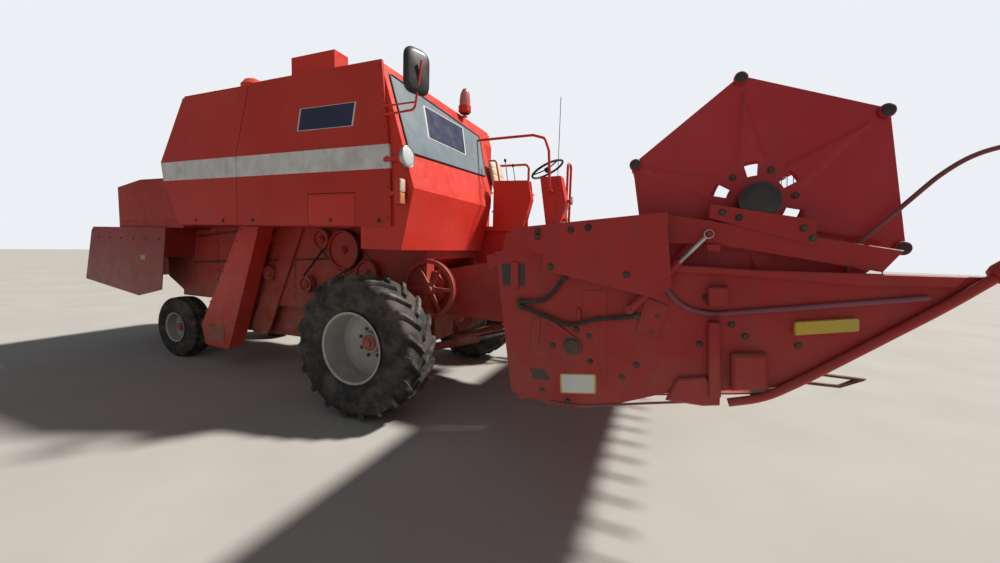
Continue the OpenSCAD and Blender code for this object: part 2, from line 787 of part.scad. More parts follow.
module lift_rods() {
    color("silver") lift_line() difference() {
        union() {
            along(0, 0, 385, lift_len - 30, 25);
            across(lift_len, 0, -28, 28, 40);
        }
        across(lift_len, 0, -29, 29, axle_bore_r + lift_drift);
    }
}

feeder_half_w = 500;
trunnion_r = 45;
feeder_swing_r = 330;

module feeder_house() {
    color("firebrick") on_lift() {
        difference() {
            union() {
                slab(-feeder_half_w, feeder_half_w, [[0, 190], [759, 151], [1500, 110], [1485, -640], [682, -495],
                    [60, -310], [0, -310]]);
                across(0, -60, -feeder_half_w, feeder_half_w, 250);
                both_sides() for (y = [lift_eye_y - 42, lift_eye_y + 30])
                    slab(y, y + 12, [[740, -500], [1000, -560], [920, -665], [830, -665]]);
            }
            slab(sheet_t - feeder_half_w, feeder_half_w - sheet_t, [[700, 140], [1600, 98], [1600, -650],
                [1485, -628], [700, -486]]);
        }
        both_sides() across(lift_b[0], lift_b[1], lift_eye_y - 55, lift_eye_y + 55, axle_bore_r);
        both_sides() across(0, 0, feeder_half_w - 1, feeder_half_w + 56, trunnion_r);
    }
}

trough = [for (a = [180 : 10 : 270]) [auger_x + trough_r * cos(a), auger_z + trough_r * sin(a)]];
trough_out = [for (a = [270 : -10 : 180])
    [auger_x + (trough_r + table_t) * cos(a), auger_z + (trough_r + table_t) * sin(a)]];

module header_table() {
    color("firebrick") on_lift() difference() {
        union() {
            slab(-table_half_w, table_half_w, concat([[1578 + table_t, 72]], trough, [[2198, -745], [knife_x, knife_z],
                [knife_x, knife_z - table_t], [2198, -745 - table_t]], trough_out, [[1578, 72]]));
            block([1500, -table_half_w, 0], [1572, table_half_w, 72]);
            block([1520, -table_half_w, -720], [1590, table_half_w, -650]);
            both_sides() block([1486, feeder_half_w + 10, -720], [1520, feeder_half_w + 60, 72]);
        }
        block([1400, -feeder_half_w + 20, -600], [1640, feeder_half_w - 20, -10]);
    }
}

sheet_outline = [[1560, 80], [1491, -654], [1674, -750], [1840, -796], [2198, -800], [2623, -815], [2863, -686],
    [3428, -398], [3374, -380], [3311, -434], [2395, -164], [1820, -10], [1700, 40]];

module header_ends() {
    color("firebrick") on_lift() both_sides() difference() {
        union() {
            slab(table_half_w, header_half_w, sheet_outline);
            slab(table_half_w, header_half_w, [[1590, 50], [1640, 160], [arm_x, arm_z + 55], [1760, 160], [1820, -20]]);
            across(arm_x, arm_z, arm_in_y - 4, header_half_w - 1, 20);
        }
        across(auger_x, auger_z, table_half_w - 1, header_half_w + 1, 30 + clear);
    }
    color("firebrick") on_lift() both_sides() {
        across(reel_cyl_a[0], reel_cyl_a[1], header_half_w + clear, header_half_w + 6, 32);
        across(reel_cyl_a[0], reel_cyl_a[1], header_half_w + 5, header_half_w + 50, reel_pin_r);
    }
}

module end_shields() {
    color("orangered") on_lift() both_sides() {
        slab(header_half_w + 72, header_half_w + 80, [[1707, 169], [2419, 69], [2403, -16], [2376, -249],
            [2305, -294], [1821, -68], [1836, 4], [1690, 96]]);
        for (p = [[1860, -60], [2200, -165]])
            across(p[0], p[1], header_half_w, header_half_w + 72, 15);
    }
}

module divider_noses() {
    color("firebrick") on_lift() both_sides() {
        slab(header_half_w + clear, header_half_w + 50, [[2863, -686], [3428, -398], [4133, -41], [4120, -30],
            [3428, -340], [2830, -640]]);
    }
}

module cutter_bar() {
    color("dimgray") on_lift() {
        block([knife_x, -table_half_w, knife_z - 20], [knife_x + 60, table_half_w, knife_z]);
        for (i = [-31 : 31])
            slab(i * 76.2 - 11, i * 76.2 + 11, [[knife_x + 60, knife_z - 20], [knife_x + 130, knife_z - 10],
                [knife_x + 60, knife_z + 4]]);
    }
}

module header_hoses() {
    color("black") on_lift() mirror([0, 1, 0])
        bent_tube([[1750, header_half_w + 14 + clear, -300], [2000, header_half_w + 14 + clear, -180],
            [2200, header_half_w + 14 + clear, -210]], 12, 60);
}

// One flight of a screw along Y from y0 to y1, turning by the pitch given
function flight_points(y0, y1, r0, r1, pitch, t, n) = [for (i = [0 : n])
    let (y = y0 + (y1 - y0 - t) * i / n, a = 360 * (y - y0) / pitch)
    for (q = [[r0, 0], [r1, 0], [r1, t], [r0, t]]) [q[0] * cos(a), y + q[1], q[0] * sin(a)]];

module flight(y0, y1, r0, r1, pitch, t) {
    n = ceil(abs((y1 - y0) / pitch) * 16);
    faces = concat([[0, 1, 2, 3]], [for (i = [0 : n - 1], k = [0 : 3])
        let (a = i * 4 + k, b = i * 4 + (k + 1) % 4) [a, a + 4, b + 4, b]], [[n * 4 + 3, n * 4 + 2, n * 4 + 1, n * 4]]);
    polyhedron(flight_points(y0, y1, r0, r1, pitch, t, n), faces);
}

module crop_auger() {
    color("silver") on_lift() translate([auger_x, 0, auger_z]) {
        across(0, 0, -2330, 2330, auger_tube_r);
        across(0, 0, -table_half_w - 8, table_half_w + 8, 30);
        flight(520, 2320, auger_tube_r - 6, auger_r, auger_pitch, 5);
        mirror([0, 1, 0]) flight(520, 2320, auger_tube_r - 6, auger_r, auger_pitch, 5);
    }
}

reel_shaft_r = 22;

module reel_arms() {
    color("firebrick") on_lift() both_sides() difference() {
        union() {
            slab(arm_in_y, arm_out_y, [[1660, 160], [1660, 84], [1700, 75], [2554, -97], [3122, -339], [3197, -270],
                [2411, 70], [1740, 165]]);
            slab(arm_in_y - 14, arm_in_y, [[2549, -110], [2583, 67], [2700, 95], [2860, 95], [2971, -30],
                [2937, -240]]);
            across(reel_cyl_b[0], reel_cyl_b[1], arm_out_y - 1, header_half_w + 50, reel_pin_r);
        }
        across(reel_x, reel_z, arm_in_y - 20, arm_out_y + 1, reel_shaft_r + clear);
        across(arm_x, arm_z, arm_in_y - 20, arm_out_y + 1, 20 + clear);
    }
}

reel_pin_r = 9;
reel_cyl_a = [2180, -330];
reel_cyl_b = [2560, -60];
reel_drift = 6.5;
reel_cyl_len = norm(reel_cyl_b - reel_cyl_a);
reel_cyl_slope = atan2(reel_cyl_b[1] - reel_cyl_a[1], reel_cyl_b[0] - reel_cyl_a[0]);

module reel_line() {
    on_lift() both_sides() translate([reel_cyl_a[0], header_half_w + 30, reel_cyl_a[1]])
        rotate([0, -reel_cyl_slope, 0]) children();
}

module reel_barrels() {
    color("firebrick") reel_line() difference() {
        union() {
            across(0, 0, -14, 14, 20);
            along(0, 0, 12, 300, 18);
        }
        across(0, 0, -15, 15, reel_pin_r + clear);
        along(0, 0, 60, 301, 10 + clear);
    }
}

module reel_rods() {
    color("silver") reel_line() difference() {
        union() {
            along(0, 0, 115, reel_cyl_len - 12, 10);
            across(reel_cyl_len, 0, -12, 12, 20);
        }
        across(reel_cyl_len, 0, -13, 13, reel_pin_r + reel_drift);
    }
}

module reel() {
    color("firebrick") on_lift() translate([reel_x, 0, reel_z]) {
        across(0, 0, 10 - reel_half_w, reel_half_w - 10, 57);
        across(0, 0, -arm_out_y + 4, arm_out_y - 4, reel_shaft_r);
        both_sides() slab(reel_half_w - 6, reel_half_w, [for (i = [0 : 5])
            [(reel_r + 15) * cos(reel_phase - lift_deg + i * 60), (reel_r + 15) * sin(reel_phase - lift_deg + i * 60)]]);
        for (i = [0 : 5]) {
            a = reel_phase - lift_deg + i * 60;
            across(reel_r * cos(a), reel_r * sin(a), -reel_half_w - 30, reel_half_w + 30, 21);
            for (y = [-2250, 2250])
                translate([reel_r * cos(a), y, reel_r * sin(a)]) rotate([0, lift_deg, 0])
                    translate([0, 0, -tine_len]) cylinder(h = tine_len, r = 5);
        }
    }
}

front_axle();
main_frame();
threshing_body();
cleaning_shoe();
straw_walkers();
straw_hood();
rear_cover();
grain_elevator();
drive_pulleys();
grain_tank();
tank_front_panel();
side_panel_right();
hatch_door();
engine_bay();
engine_door();
side_panel_left();
engine();
engine_grille();
air_cleaner();
elevator_head();
platform();
consoles();
steering_wheel();
seat();
handrails();
ladder();
side_mirror();
lamps();
antenna();
rear_axle();
steering_rod();
knuckle_left();
knuckle_right();
tyre_front_left();
tyre_front_right();
rim_front_left();
rim_front_right();
tyre_rear_left();
tyre_rear_right();
rim_rear_left();
rim_rear_right();
unloader_base();
unloader_tube();
lift_barrels();
lift_rods();
feeder_house();
header_table();
header_ends();
end_shields();
divider_noses();
cutter_bar();
header_hoses();
crop_auger();
reel_arms();
reel_barrels();
reel_rods();
reel();
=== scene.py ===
"""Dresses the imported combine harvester: weathered paint on its CAD sheets, tyre lugs, tines and bolts."""

import math

import bmesh
import bpy
import numpy as np
from mathutils import Matrix, Vector


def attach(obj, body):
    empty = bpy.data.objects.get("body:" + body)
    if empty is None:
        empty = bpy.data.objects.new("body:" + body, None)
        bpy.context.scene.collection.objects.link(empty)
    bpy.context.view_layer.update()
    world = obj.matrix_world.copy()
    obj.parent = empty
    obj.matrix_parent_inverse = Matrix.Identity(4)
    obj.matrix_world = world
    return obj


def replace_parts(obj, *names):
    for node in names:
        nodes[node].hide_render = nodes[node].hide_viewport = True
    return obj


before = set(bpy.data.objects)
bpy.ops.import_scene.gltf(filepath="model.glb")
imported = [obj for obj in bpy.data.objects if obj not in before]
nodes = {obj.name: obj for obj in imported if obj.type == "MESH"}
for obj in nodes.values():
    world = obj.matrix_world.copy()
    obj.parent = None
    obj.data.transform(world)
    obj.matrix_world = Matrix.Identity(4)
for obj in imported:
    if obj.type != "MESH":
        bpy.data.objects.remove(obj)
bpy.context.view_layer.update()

# Camera and stage. A wide lens stands ahead of the right front wheel, a little turned, over a pale studio
# floor with one soft key, a fill and an even sky.
EYE = np.array([3.334, -4.379, 1.732])
YAW, PITCH, ROLL = np.radians([112.027, -5.002, 1.654])
SENSOR_MM, LENS_MM, FARTHEST, LAMPS_OFF = 36.0, 14.327, 400.0, 14
ahead = np.array([math.cos(PITCH) * math.cos(YAW), math.cos(PITCH) * math.sin(YAW), math.sin(PITCH)])
level = np.array([math.sin(YAW), -math.cos(YAW), 0.0])
over = np.cross(level, ahead)
side = level * math.cos(ROLL) + over * math.sin(ROLL)
head = over * math.cos(ROLL) - level * math.sin(ROLL)
camera = bpy.data.objects.new("camera", bpy.data.cameras.new("camera"))
camera.data.sensor_width, camera.data.lens, camera.data.clip_end = SENSOR_MM, LENS_MM, FARTHEST
camera.matrix_world = Matrix([[*row, place] for row, place in zip(np.array([side, head, -ahead]).T, EYE)]
                             + [[0, 0, 0, 1]])
bpy.context.scene.collection.objects.link(camera)
bpy.context.scene.camera = camera
bpy.context.scene.view_settings.view_transform = "Standard"


def lamp(name, kind, direction, power, **settings):
    """A lamp that shines from the given direction on to the machine's middle."""
    data = bpy.data.lights.new(name, kind)
    data.energy = power
    for key, value in settings.items():
        setattr(data, key, value)
    made = bpy.data.objects.new(name, data)
    made.rotation_euler = Vector(direction).to_track_quat("Z", "Y").to_euler()
    made.location = Vector(direction).normalized() * LAMPS_OFF
    bpy.context.scene.collection.objects.link(made)


lamp("key", "SUN", (0.62, 0.42, 0.86), 6.2, angle=math.radians(5), color=(1.0, 0.97, 0.92))
lamp("fill", "SUN", (0.35, -1.0, 0.55), 0.16, angle=math.radians(60), color=(0.93, 0.96, 1.0))
sky = bpy.data.worlds.new("studio")
bpy.context.scene.world = sky
sky.use_nodes = True
air = sky.node_tree
back = air.nodes["Background"]
back.inputs["Color"].default_value = (0.80, 0.85, 0.92, 1)
back.inputs["Strength"].default_value = 0.24
pale = air.nodes.new("ShaderNodeBackground")
pale.inputs["Color"].default_value = (0.84, 0.87, 0.91, 1)
rays = air.nodes.new("ShaderNodeLightPath")
shown = air.nodes.new("ShaderNodeMixShader")
air.links.new(rays.outputs["Is Camera Ray"], shown.inputs[0])
air.links.new(back.outputs[0], shown.inputs[1])
air.links.new(pale.outputs[0], shown.inputs[2])
air.links.new(shown.outputs[0], air.nodes["World Output"].inputs[0])


# Painted sheet metal. The panels are pressed steel in a red that has gone dull and pale in the sun,
# with dust on ledges and low down, grime that ran with the rain, and bare dark edges.
def add(tree, kind, ins=(), **settings):
    """One node of a finish; ins maps its inputs to values or to other nodes' outputs."""
    made = tree.nodes.new("ShaderNode" + kind)
    for key, value in settings.items():
        setattr(made, key, value)
    for key, value in dict(ins).items():
        if isinstance(value, bpy.types.NodeSocket):
            tree.links.new(value, made.inputs[key])
        else:
            made.inputs[key].default_value = value
    return made


def noise(tree, scale, detail=4.0, stretch=(1, 1, 1), rough=0.55):
    """Noise over the object's own place, scale lumps to the metre, stretched along an axis."""
    place = add(tree, "TexCoord").outputs["Object"]
    turned = add(tree, "Mapping", {"Vector": place, "Scale": stretch}).outputs[0]
    return add(tree, "TexNoise", {"Vector": turned, "Scale": scale, "Detail": detail,
                                  "Roughness": rough}).outputs["Fac"]


def between(tree, value, low, high, start=0.0, end=1.0):
    """A value's share of the way from low to high, clamped."""
    return add(tree, "MapRange", {0: value, 1: low, 2: high, 3: start, 4: end}).outputs[0]


def math_of(tree, how, a, b=0.0, clamp=False):
    """Two values added, multiplied or compared."""
    return add(tree, "Math", {0: a, 1: b}, operation=how, use_clamp=clamp).outputs[0]


def times(tree, a, b, clamp=False):
    """Two values multiplied."""
    return math_of(tree, "MULTIPLY", a, b, clamp)


def along(tree, letter):
    """The point's own place along one axis."""
    return add(tree, "SeparateXYZ", {0: add(tree, "TexCoord").outputs["Object"]}).outputs[letter]


def mix(tree, share, a, b):
    """Colour a turning into colour b by the share."""
    whole = [tuple(c) + (1.0,) if isinstance(c, tuple) and len(c) == 3 else c for c in (a, b)]
    return add(tree, "Mix", {0: share, 6: whole[0], 7: whole[1]}, data_type="RGBA").outputs[2]


def patches(tree, a, b, scale, detail=6.0, low=0.35, high=0.7, most=1.0):
    """Colour a with clouds of colour b, scale to the metre, where the noise rises from low to high."""
    return mix(tree, between(tree, noise(tree, scale, detail), low, high, 0.0, most), a, b)


def finish_named(name, roughness=0.5, metallic=0.0):
    """A new material, its tree and its shader."""
    made = bpy.data.materials.new(name)
    made.use_nodes = True
    shader = made.node_tree.nodes["Principled BSDF"]
    shader.inputs["Roughness"].default_value = roughness
    shader.inputs["Metallic"].default_value = metallic
    shader.inputs["Specular IOR Level"].default_value = 0.35
    return made, made.node_tree, shader


def coloured(tree, shader, skin):
    """Gives the shader its colour."""
    tree.links.new(skin, shader.inputs["Base Color"])


def bump(tree, shader, height, strength=0.3, distance=0.002):
    """A height felt in the shader's normal."""
    felt = add(tree, "Bump", {"Height": height, "Strength": strength, "Distance": distance})
    tree.links.new(felt.outputs[0], shader.inputs["Normal"])


DUST = (0.36, 0.27, 0.19)
BARE = (0.095, 0.052, 0.038)


def edges_of(tree, radius):
    """Share of an edge near a point: how far the rounded normal leans from the flat one."""
    flat = add(tree, "NewGeometry").outputs["Normal"]
    rounded = add(tree, "Bevel", {"Radius": radius}, samples=4).outputs[0]
    lean = add(tree, "VectorMath", {0: flat, 1: rounded}, operation="DOT_PRODUCT").outputs["Value"]
    return between(tree, lean, 0.985, 0.80)


def dust_of(tree, amount):
    """Dust lies on faces that look up, and is splashed up the sides, thinning out by 1.7 m over ground."""
    normal = add(tree, "SeparateXYZ", {0: add(tree, "NewGeometry").outputs["Normal"]}).outputs["Z"]
    ledges = between(tree, normal, 0.2, 0.95, 0.0, 0.75)
    splash = between(tree, along(tree, "Z"), 1.7, 0.4, 0.0, 0.8)
    share = math_of(tree, "ADD", ledges, splash)
    cloud = between(tree, noise(tree, 5.0, 6.0), 0.34, 0.68, 0.15, 1.0)
    return times(tree, times(tree, share, cloud), amount, True)


def weathered_paint(name, colour, faded, wear=0.5, dust=0.5, gloss=0.42, stripe=None):
    """Paint from colour to faded in broad patches, with runs of grime, chips, worn edges and dust."""
    made, tree, shader = finish_named(name)
    skin = patches(tree, colour, faded, 1.1, 6.0, 0.36, 0.66)
    skin = patches(tree, skin, faded, 23.0, 3.0, 0.30, 0.75, 0.20)
    if stripe:
        fray = between(tree, noise(tree, 60.0, 2.0), 0.3, 0.7, -0.0015, 0.0015)
        ragged = math_of(tree, "ADD", along(tree, "Z"), fray)
        band = times(tree, math_of(tree, "GREATER_THAN", ragged, stripe[0]),
                     math_of(tree, "LESS_THAN", ragged, stripe[1]))
        skin = mix(tree, band, skin, patches(tree, (0.66, 0.66, 0.65), (0.50, 0.49, 0.47), 7.0, 5.0))
    runs = between(tree, noise(tree, 1.0, 5.0, (13, 13, 1.1)), 0.50, 0.80, 0.0, 0.32 * (dust + wear))
    skin = mix(tree, runs, skin, tuple(0.35 * c + 0.03 for c in colour))
    specks = between(tree, noise(tree, 75.0, 2.0), 0.70 - 0.05 * wear, 0.76 - 0.05 * wear)
    rare = between(tree, noise(tree, 3.3, 4.0), 0.48, 0.62)
    chips = times(tree, times(tree, specks, rare), wear)
    frayed = between(tree, noise(tree, 48.0, 5.0), 0.44, 0.62)
    worn = times(tree, times(tree, edges_of(tree, 0.009), frayed), 0.9 * wear)
    bare = math_of(tree, "MAXIMUM", chips, worn)
    skin = mix(tree, bare, skin, BARE)
    settled = dust_of(tree, dust)
    coloured(tree, shader, mix(tree, settled, skin, DUST))
    rough = between(tree, noise(tree, 9.0, 5.0), 0.3, 0.7, gloss - 0.08, gloss + 0.12)
    tree.links.new(math_of(tree, "ADD", rough, times(tree, settled, 0.4), True), shader.inputs["Roughness"])
    waves = math_of(tree, "ADD", times(tree, noise(tree, 3.5, 2.0), 2.5), noise(tree, 320.0, 2.0))
    bump(tree, shader, math_of(tree, "SUBTRACT", waves, bare), 0.28, 0.0016)
    return made


body_red = weathered_paint("body_red", (0.56, 0.026, 0.016), (0.60, 0.045, 0.028), 0.35, 0.30, 0.38)
# A darker copy of the body red for parts that sit in shade: painted shade, with more dust and wear on it.
painted_shade_red = weathered_paint("painted_shade_red", (0.34, 0.016, 0.010), (0.40, 0.036, 0.024), 0.55, 0.75, 0.5)
rear_red = weathered_paint("rear_red", (0.24, 0.010, 0.013), (0.30, 0.022, 0.022), 0.7, 0.5, 0.30)
header_red = weathered_paint("header_red", (0.33, 0.009, 0.010), (0.38, 0.024, 0.020), 1.0, 0.42, 0.44)
reel_red = weathered_paint("reel_red", (0.38, 0.012, 0.018), (0.44, 0.030, 0.034), 0.8, 0.25, 0.42)
# The side panels' red is a darker copy of the body red, painted shade; the white stripe across it between
# 2.435 and 2.66 m is real paint.
painted_shade_striped_red = weathered_paint("painted_shade_striped_red", (0.46, 0.020, 0.011), (0.50, 0.036, 0.02), 0.35, 0.25, 0.38,
                              stripe=(2.435, 2.66))
panel_grey = weathered_paint("panel_grey", (0.13, 0.17, 0.19), (0.20, 0.24, 0.26), 0.35, 0.35, 0.32)
black_paint = weathered_paint("black_paint", (0.018, 0.018, 0.019), (0.05, 0.045, 0.04), 0.5, 0.5, 0.4)
engine_grey = weathered_paint("engine_grey", (0.16, 0.16, 0.15), (0.24, 0.23, 0.21), 0.6, 0.6, 0.5)
rim_silver = weathered_paint("rim_silver", (0.34, 0.34, 0.34), (0.42, 0.41, 0.40), 0.7, 0.45, 0.42)


def plain_finish(name, colour, other, scale, roughness, metallic=0.0, dust=0.0, grain=0.2):
    """One stuff in two shades of noise, with a grain in its surface and dust where it is asked for."""
    made, tree, shader = finish_named(name, roughness, metallic)
    skin = patches(tree, colour, other, scale, 6.0, 0.35, 0.65)
    if dust:
        skin = mix(tree, dust_of(tree, dust), skin, DUST)
    coloured(tree, shader, skin)
    bump(tree, shader, noise(tree, scale * 9, 3.0), grain, 0.001)
    return made


bright_steel = plain_finish("bright_steel", (0.52, 0.52, 0.51), (0.30, 0.27, 0.24), 9.0, 0.34, 0.9)
dark_steel = plain_finish("dark_steel", (0.045, 0.04, 0.036), (0.12, 0.08, 0.055), 14.0, 0.6, 0.6, 0.4)
rubber = plain_finish("rubber", (0.012, 0.012, 0.012), (0.03, 0.028, 0.026), 30.0, 0.62, 0.0, 0.3)


def wear_finish(material, names):
    """Gives CAD nodes, named with spaces between, that material in every slot."""
    for name in names.split():
        data = nodes[name].data
        data.materials.clear()
        data.materials.append(material)


wear_finish(body_red, "grain_tank hatch_door elevator_head platform consoles handrails air_cleaner ladder "
                      "lamps unloader_tube unloader_base grain_elevator")
# Side panels and engine door take the darker red with painted shade, under their white stripe.
wear_finish(painted_shade_striped_red, "side_panel_right side_panel_left engine_door")
# Frame, axles, body sides and hood take the darker red with painted shade.
wear_finish(painted_shade_red, "front_axle main_frame threshing_body cleaning_shoe engine_bay drive_pulleys "
                       "rear_axle knuckle_left knuckle_right lift_barrels straw_hood")
wear_finish(rear_red, "rear_cover")
wear_finish(header_red, "feeder_house header_table header_ends end_shields divider_noses reel_arms "
                        "reel_barrels")
wear_finish(reel_red, "reel")
wear_finish(panel_grey, "tank_front_panel")
wear_finish(black_paint, "engine_grille side_mirror antenna")
wear_finish(engine_grey, "engine")
wear_finish(rim_silver, "rim_front_left rim_front_right rim_rear_left rim_rear_right")
wear_finish(bright_steel, "straw_walkers crop_auger lift_rods reel_rods")
wear_finish(dark_steel, "cutter_bar steering_rod")
wear_finish(rubber, "header_hoses steering_wheel tyre_front_left tyre_front_right tyre_rear_left "
                    "tyre_rear_right seat")


# Drive tyres: low, wide farm tyres with nineteen bars a side that lean back to the shoulders. Black rubber,
# moulded in one piece, gone grey, with dry soil between the bars and pale tan on their tops that is partly
# dust and partly a painted highlight.
def grid_faces(rows, columns, close_rows=False, close_columns=False):
    """Quads of a grid of points counted along columns first; a closed side joins last line to first."""
    r = np.arange(rows if close_rows else rows - 1)[:, None]
    c = np.arange(columns if close_columns else columns - 1)[None, :]
    r1, c1 = (r + 1) % rows, (c + 1) % columns
    quads = [r * columns + c, r * columns + c1, r1 * columns + c1, r1 * columns + c]
    return np.stack(quads, -1).reshape(-1, 4)


def rings(points, closed=False):
    """A surface through rings of points: columns run round a ring, rows from ring to ring."""
    return points.reshape(-1, 3), grid_faces(*points.shape[:2], closed, True)


AHEAD, BACK, LEFT, RIGHT, UP = (1, 0, 0), (-1, 0, 0), (0, 1, 0), (0, -1, 0), (0, 0, 1)


def mm(*points):
    """Points in metres from millimetres."""
    return np.array(points, float) / 1000


def xyz(x, y, z):
    """Points from three arrays or numbers whose shapes fit one another."""
    return np.stack(np.broadcast_arrays(x, y, z), -1)


def unit(rows):
    """Each row at length one."""
    return rows / np.linalg.norm(rows, axis=1)[:, None]


def piece(name, surface, material, body=None, smooth=0.0, weld=True, values=None):
    """A mesh from a surface's points and faces, with its finish, riding on a body. Points that meet are
    welded, which closes seams and poles, and faces are turned outwards. smooth is the angle in degrees up to
    which edges are rounded; values is a number a point for the finish."""
    points, faces = surface
    data = bpy.data.meshes.new(name)
    faces = faces if isinstance(faces, list) else faces.tolist()
    data.from_pydata(np.asarray(points, float).reshape(-1, 3).tolist(), [], faces)
    if values is not None:
        wear = data.attributes.new("wear", "FLOAT", "POINT")
        wear.data.foreach_set("value", np.asarray(values, "f").ravel())
    work = bmesh.new()
    work.from_mesh(data)
    if weld:
        bmesh.ops.remove_doubles(work, verts=work.verts, dist=1e-5)
    bmesh.ops.recalc_face_normals(work, faces=work.faces)
    work.to_mesh(data)
    work.free()
    made = bpy.data.objects.new(name, data)
    bpy.context.scene.collection.objects.link(made)
    data.materials.append(material)
    if smooth:
        data.shade_smooth()
        data.set_sharp_from_angle(angle=math.radians(smooth))
    if body:
        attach(made, body)
    return made


def smoothed(points, count):
    """A curve through the points: between each two a cubic with slopes of half the neighbours' step."""
    p = np.asarray(points, float)
    slope = np.gradient(p, axis=0)
    t = np.linspace(0, len(p) - 1, count)
    i = np.minimum(t.astype(int), len(p) - 2)
    f = (t - i)[:, None]
    return ((2 * f**3 - 3 * f**2 + 1) * p[i] + (f**3 - 2 * f**2 + f) * slope[i]
            + (3 * f**2 - 2 * f**3) * p[i + 1] + (f**3 - f**2) * slope[i + 1])


def both_halves(half):
    """A section from bead to middle, then back out to the other bead."""
    half = np.asarray(half, float)
    return np.concatenate([half * (1, -1), half[-2::-1]])


FRONT_WHEEL, REAR_WHEEL = np.array([0.615, 1.228, 0.715]), np.array([-3.141, 0.740, 0.435])
BARS, BAR_LEAN, PITCH_RADIUS = 19, math.tan(math.radians(42)), 700
BEAD = [(341, 188), (377, 197), (430, 221), (506, 235)]
CARCASS = BEAD + [(600, 228), (653, 207), (675, 160), (681, 75), (682, 0)]
BAR_SKIN = BEAD + [(604, 230), (686, 222), (709, 172), (714, 75), (715, 0)]


def drive_tyre(out):
    """Rows run round the tyre and columns across it, in mm. Carcass and bars' outer skin are two smooth
    sections, and the surface is the carcass plus their gap times a bar share: 1 where the way round, less the
    lean times the distance from the quarter width, is near a bar's line, falling to 0 over 12 mm. The sides
    stand half a pitch apart."""
    rows, columns = BARS * 24, 89
    low, high = smoothed(both_halves(CARCASS), columns), smoothed(both_halves(BAR_SKIN), columns)
    turn = np.linspace(0, 2 * np.pi, rows, endpoint=False)[:, None]
    pitch = 2 * np.pi * PITCH_RADIUS / BARS
    off = np.abs((turn * PITCH_RADIUS - np.sign(low[:, 1]) * pitch / 4 + pitch / 2) % pitch - pitch / 2)
    share = np.clip((37 - off) / 12, 0, 1) * np.clip((np.abs(low[:, 1]) + 2) / 9, 0, 1)
    radius, across = (low + (high - low) * share[..., None]).transpose(2, 0, 1)
    lean = turn - (np.minimum(np.abs(across), 226) - 117.5) * BAR_LEAN / PITCH_RADIUS
    points = xyz(radius * np.sin(lean), across * out, radius * np.cos(lean)) / 1000
    return points, grid_faces(rows, columns, True, True), share * np.clip((radius - 640) / 50, 0, 1)


tyre_rubber, tree, shader = finish_named("tyre_rubber", 0.78)
# The wear attribute is the share of a bar's top. The pale tan there is dust and a painted highlight.
tread = add(tree, "Attribute", attribute_name="wear").outputs["Fac"]
skin = patches(tree, (0.016, 0.016, 0.017), (0.040, 0.037, 0.035), 9.0)
soil_and_highlight = times(tree, between(tree, noise(tree, 6.0, 7.0, rough=0.7), 0.44, 0.62),
             between(tree, tread, 0.0, 1.0, 0.35, 0.8))
coloured(tree, shader, mix(tree, soil_and_highlight, skin, (0.19, 0.15, 0.115)))
bump(tree, shader, noise(tree, 120.0, 4.0), 0.35, 0.002)

RIGHT_LEFT = (("right", -1), ("left", 1))
for hand, out in RIGHT_LEFT[::-1]:
    points, faces, tread = drive_tyre(out)
    tyre = piece("drive_tyre_" + hand, (points + FRONT_WHEEL * (1, out, 1), faces), tyre_rubber,
                 "wheel_front_" + hand, 38, False, tread)
    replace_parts(tyre, "tyre_front_" + hand)


# Steering tyres: narrower ribbed tyres, three ribs round with zigzag edges. The same rubber on a smaller rim.
def steering_tyre(out):
    """A section carried round, in mm: each column's radius and half width, and 1 where a triangle wave of the
    turn sways it."""
    half = np.array([(201, 120, 0), (237, 126, 0), (275, 143, 0), (314, 150, 0), (360, 149, 0), (401, 135, 0),
                     (422, 121, 0), (427, 114, 0), (431, 84, 0), (430, 80, 1), (417, 76, 1), (417, 52, 1),
                     (433, 48, 1), (435, 44, 1), (435, 0, 0)], float)
    radius, width, sway = np.concatenate([half * (1, -1, -1), half[-2::-1]]).T
    turn = np.linspace(0, 2 * np.pi, 216, endpoint=False)[:, None]
    wave = np.abs((turn * 36 / np.pi) % 2 - 1) - 0.5
    points = xyz(radius * np.sin(turn), (width + sway * wave * 9) * out, radius * np.cos(turn)) / 1000
    # The tread's outer face takes the same pale tan: dust and a painted highlight.
    dust_and_highlight = np.clip((radius + 0 * turn - 415) / 20, 0, 1)
    return points, grid_faces(*points.shape[:2], True, True), dust_and_highlight


for hand, out in RIGHT_LEFT[::-1]:
    points, faces, tread = steering_tyre(out)
    tyre = piece("steering_tyre_" + hand, (points + REAR_WHEEL * (1, out, 1), faces), tyre_rubber,
                 "wheel_rear_" + hand, 40, False, tread)
    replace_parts(tyre, "tyre_rear_" + hand)


# Wheel hubs and nuts: a red cast cap on each silver rim, in a ring of steel nuts: eight in front, six behind.
def turned(section, middle=(0, 0, 0), axis=UP, count=32):
    """A section of (radius, way along) carried round an axis:
    middle + way * axis + radius * (cos a * u + sin a * v)."""
    axis = np.asarray(axis, float) / np.linalg.norm(axis)
    u = np.cross(axis, (0.0, 0.0, 1.0) if abs(axis[2]) < 0.9 else (0.0, 1.0, 0.0))
    u /= np.linalg.norm(u)
    angle = np.linspace(0, 2 * np.pi, count, endpoint=False)[:, None]
    ring = np.cos(angle) * u + np.sin(angle) * np.cross(axis, u)
    radius, way = np.asarray(section, float).T
    return rings(np.asarray(middle, float) + way[:, None, None] * axis + radius[:, None, None] * ring)


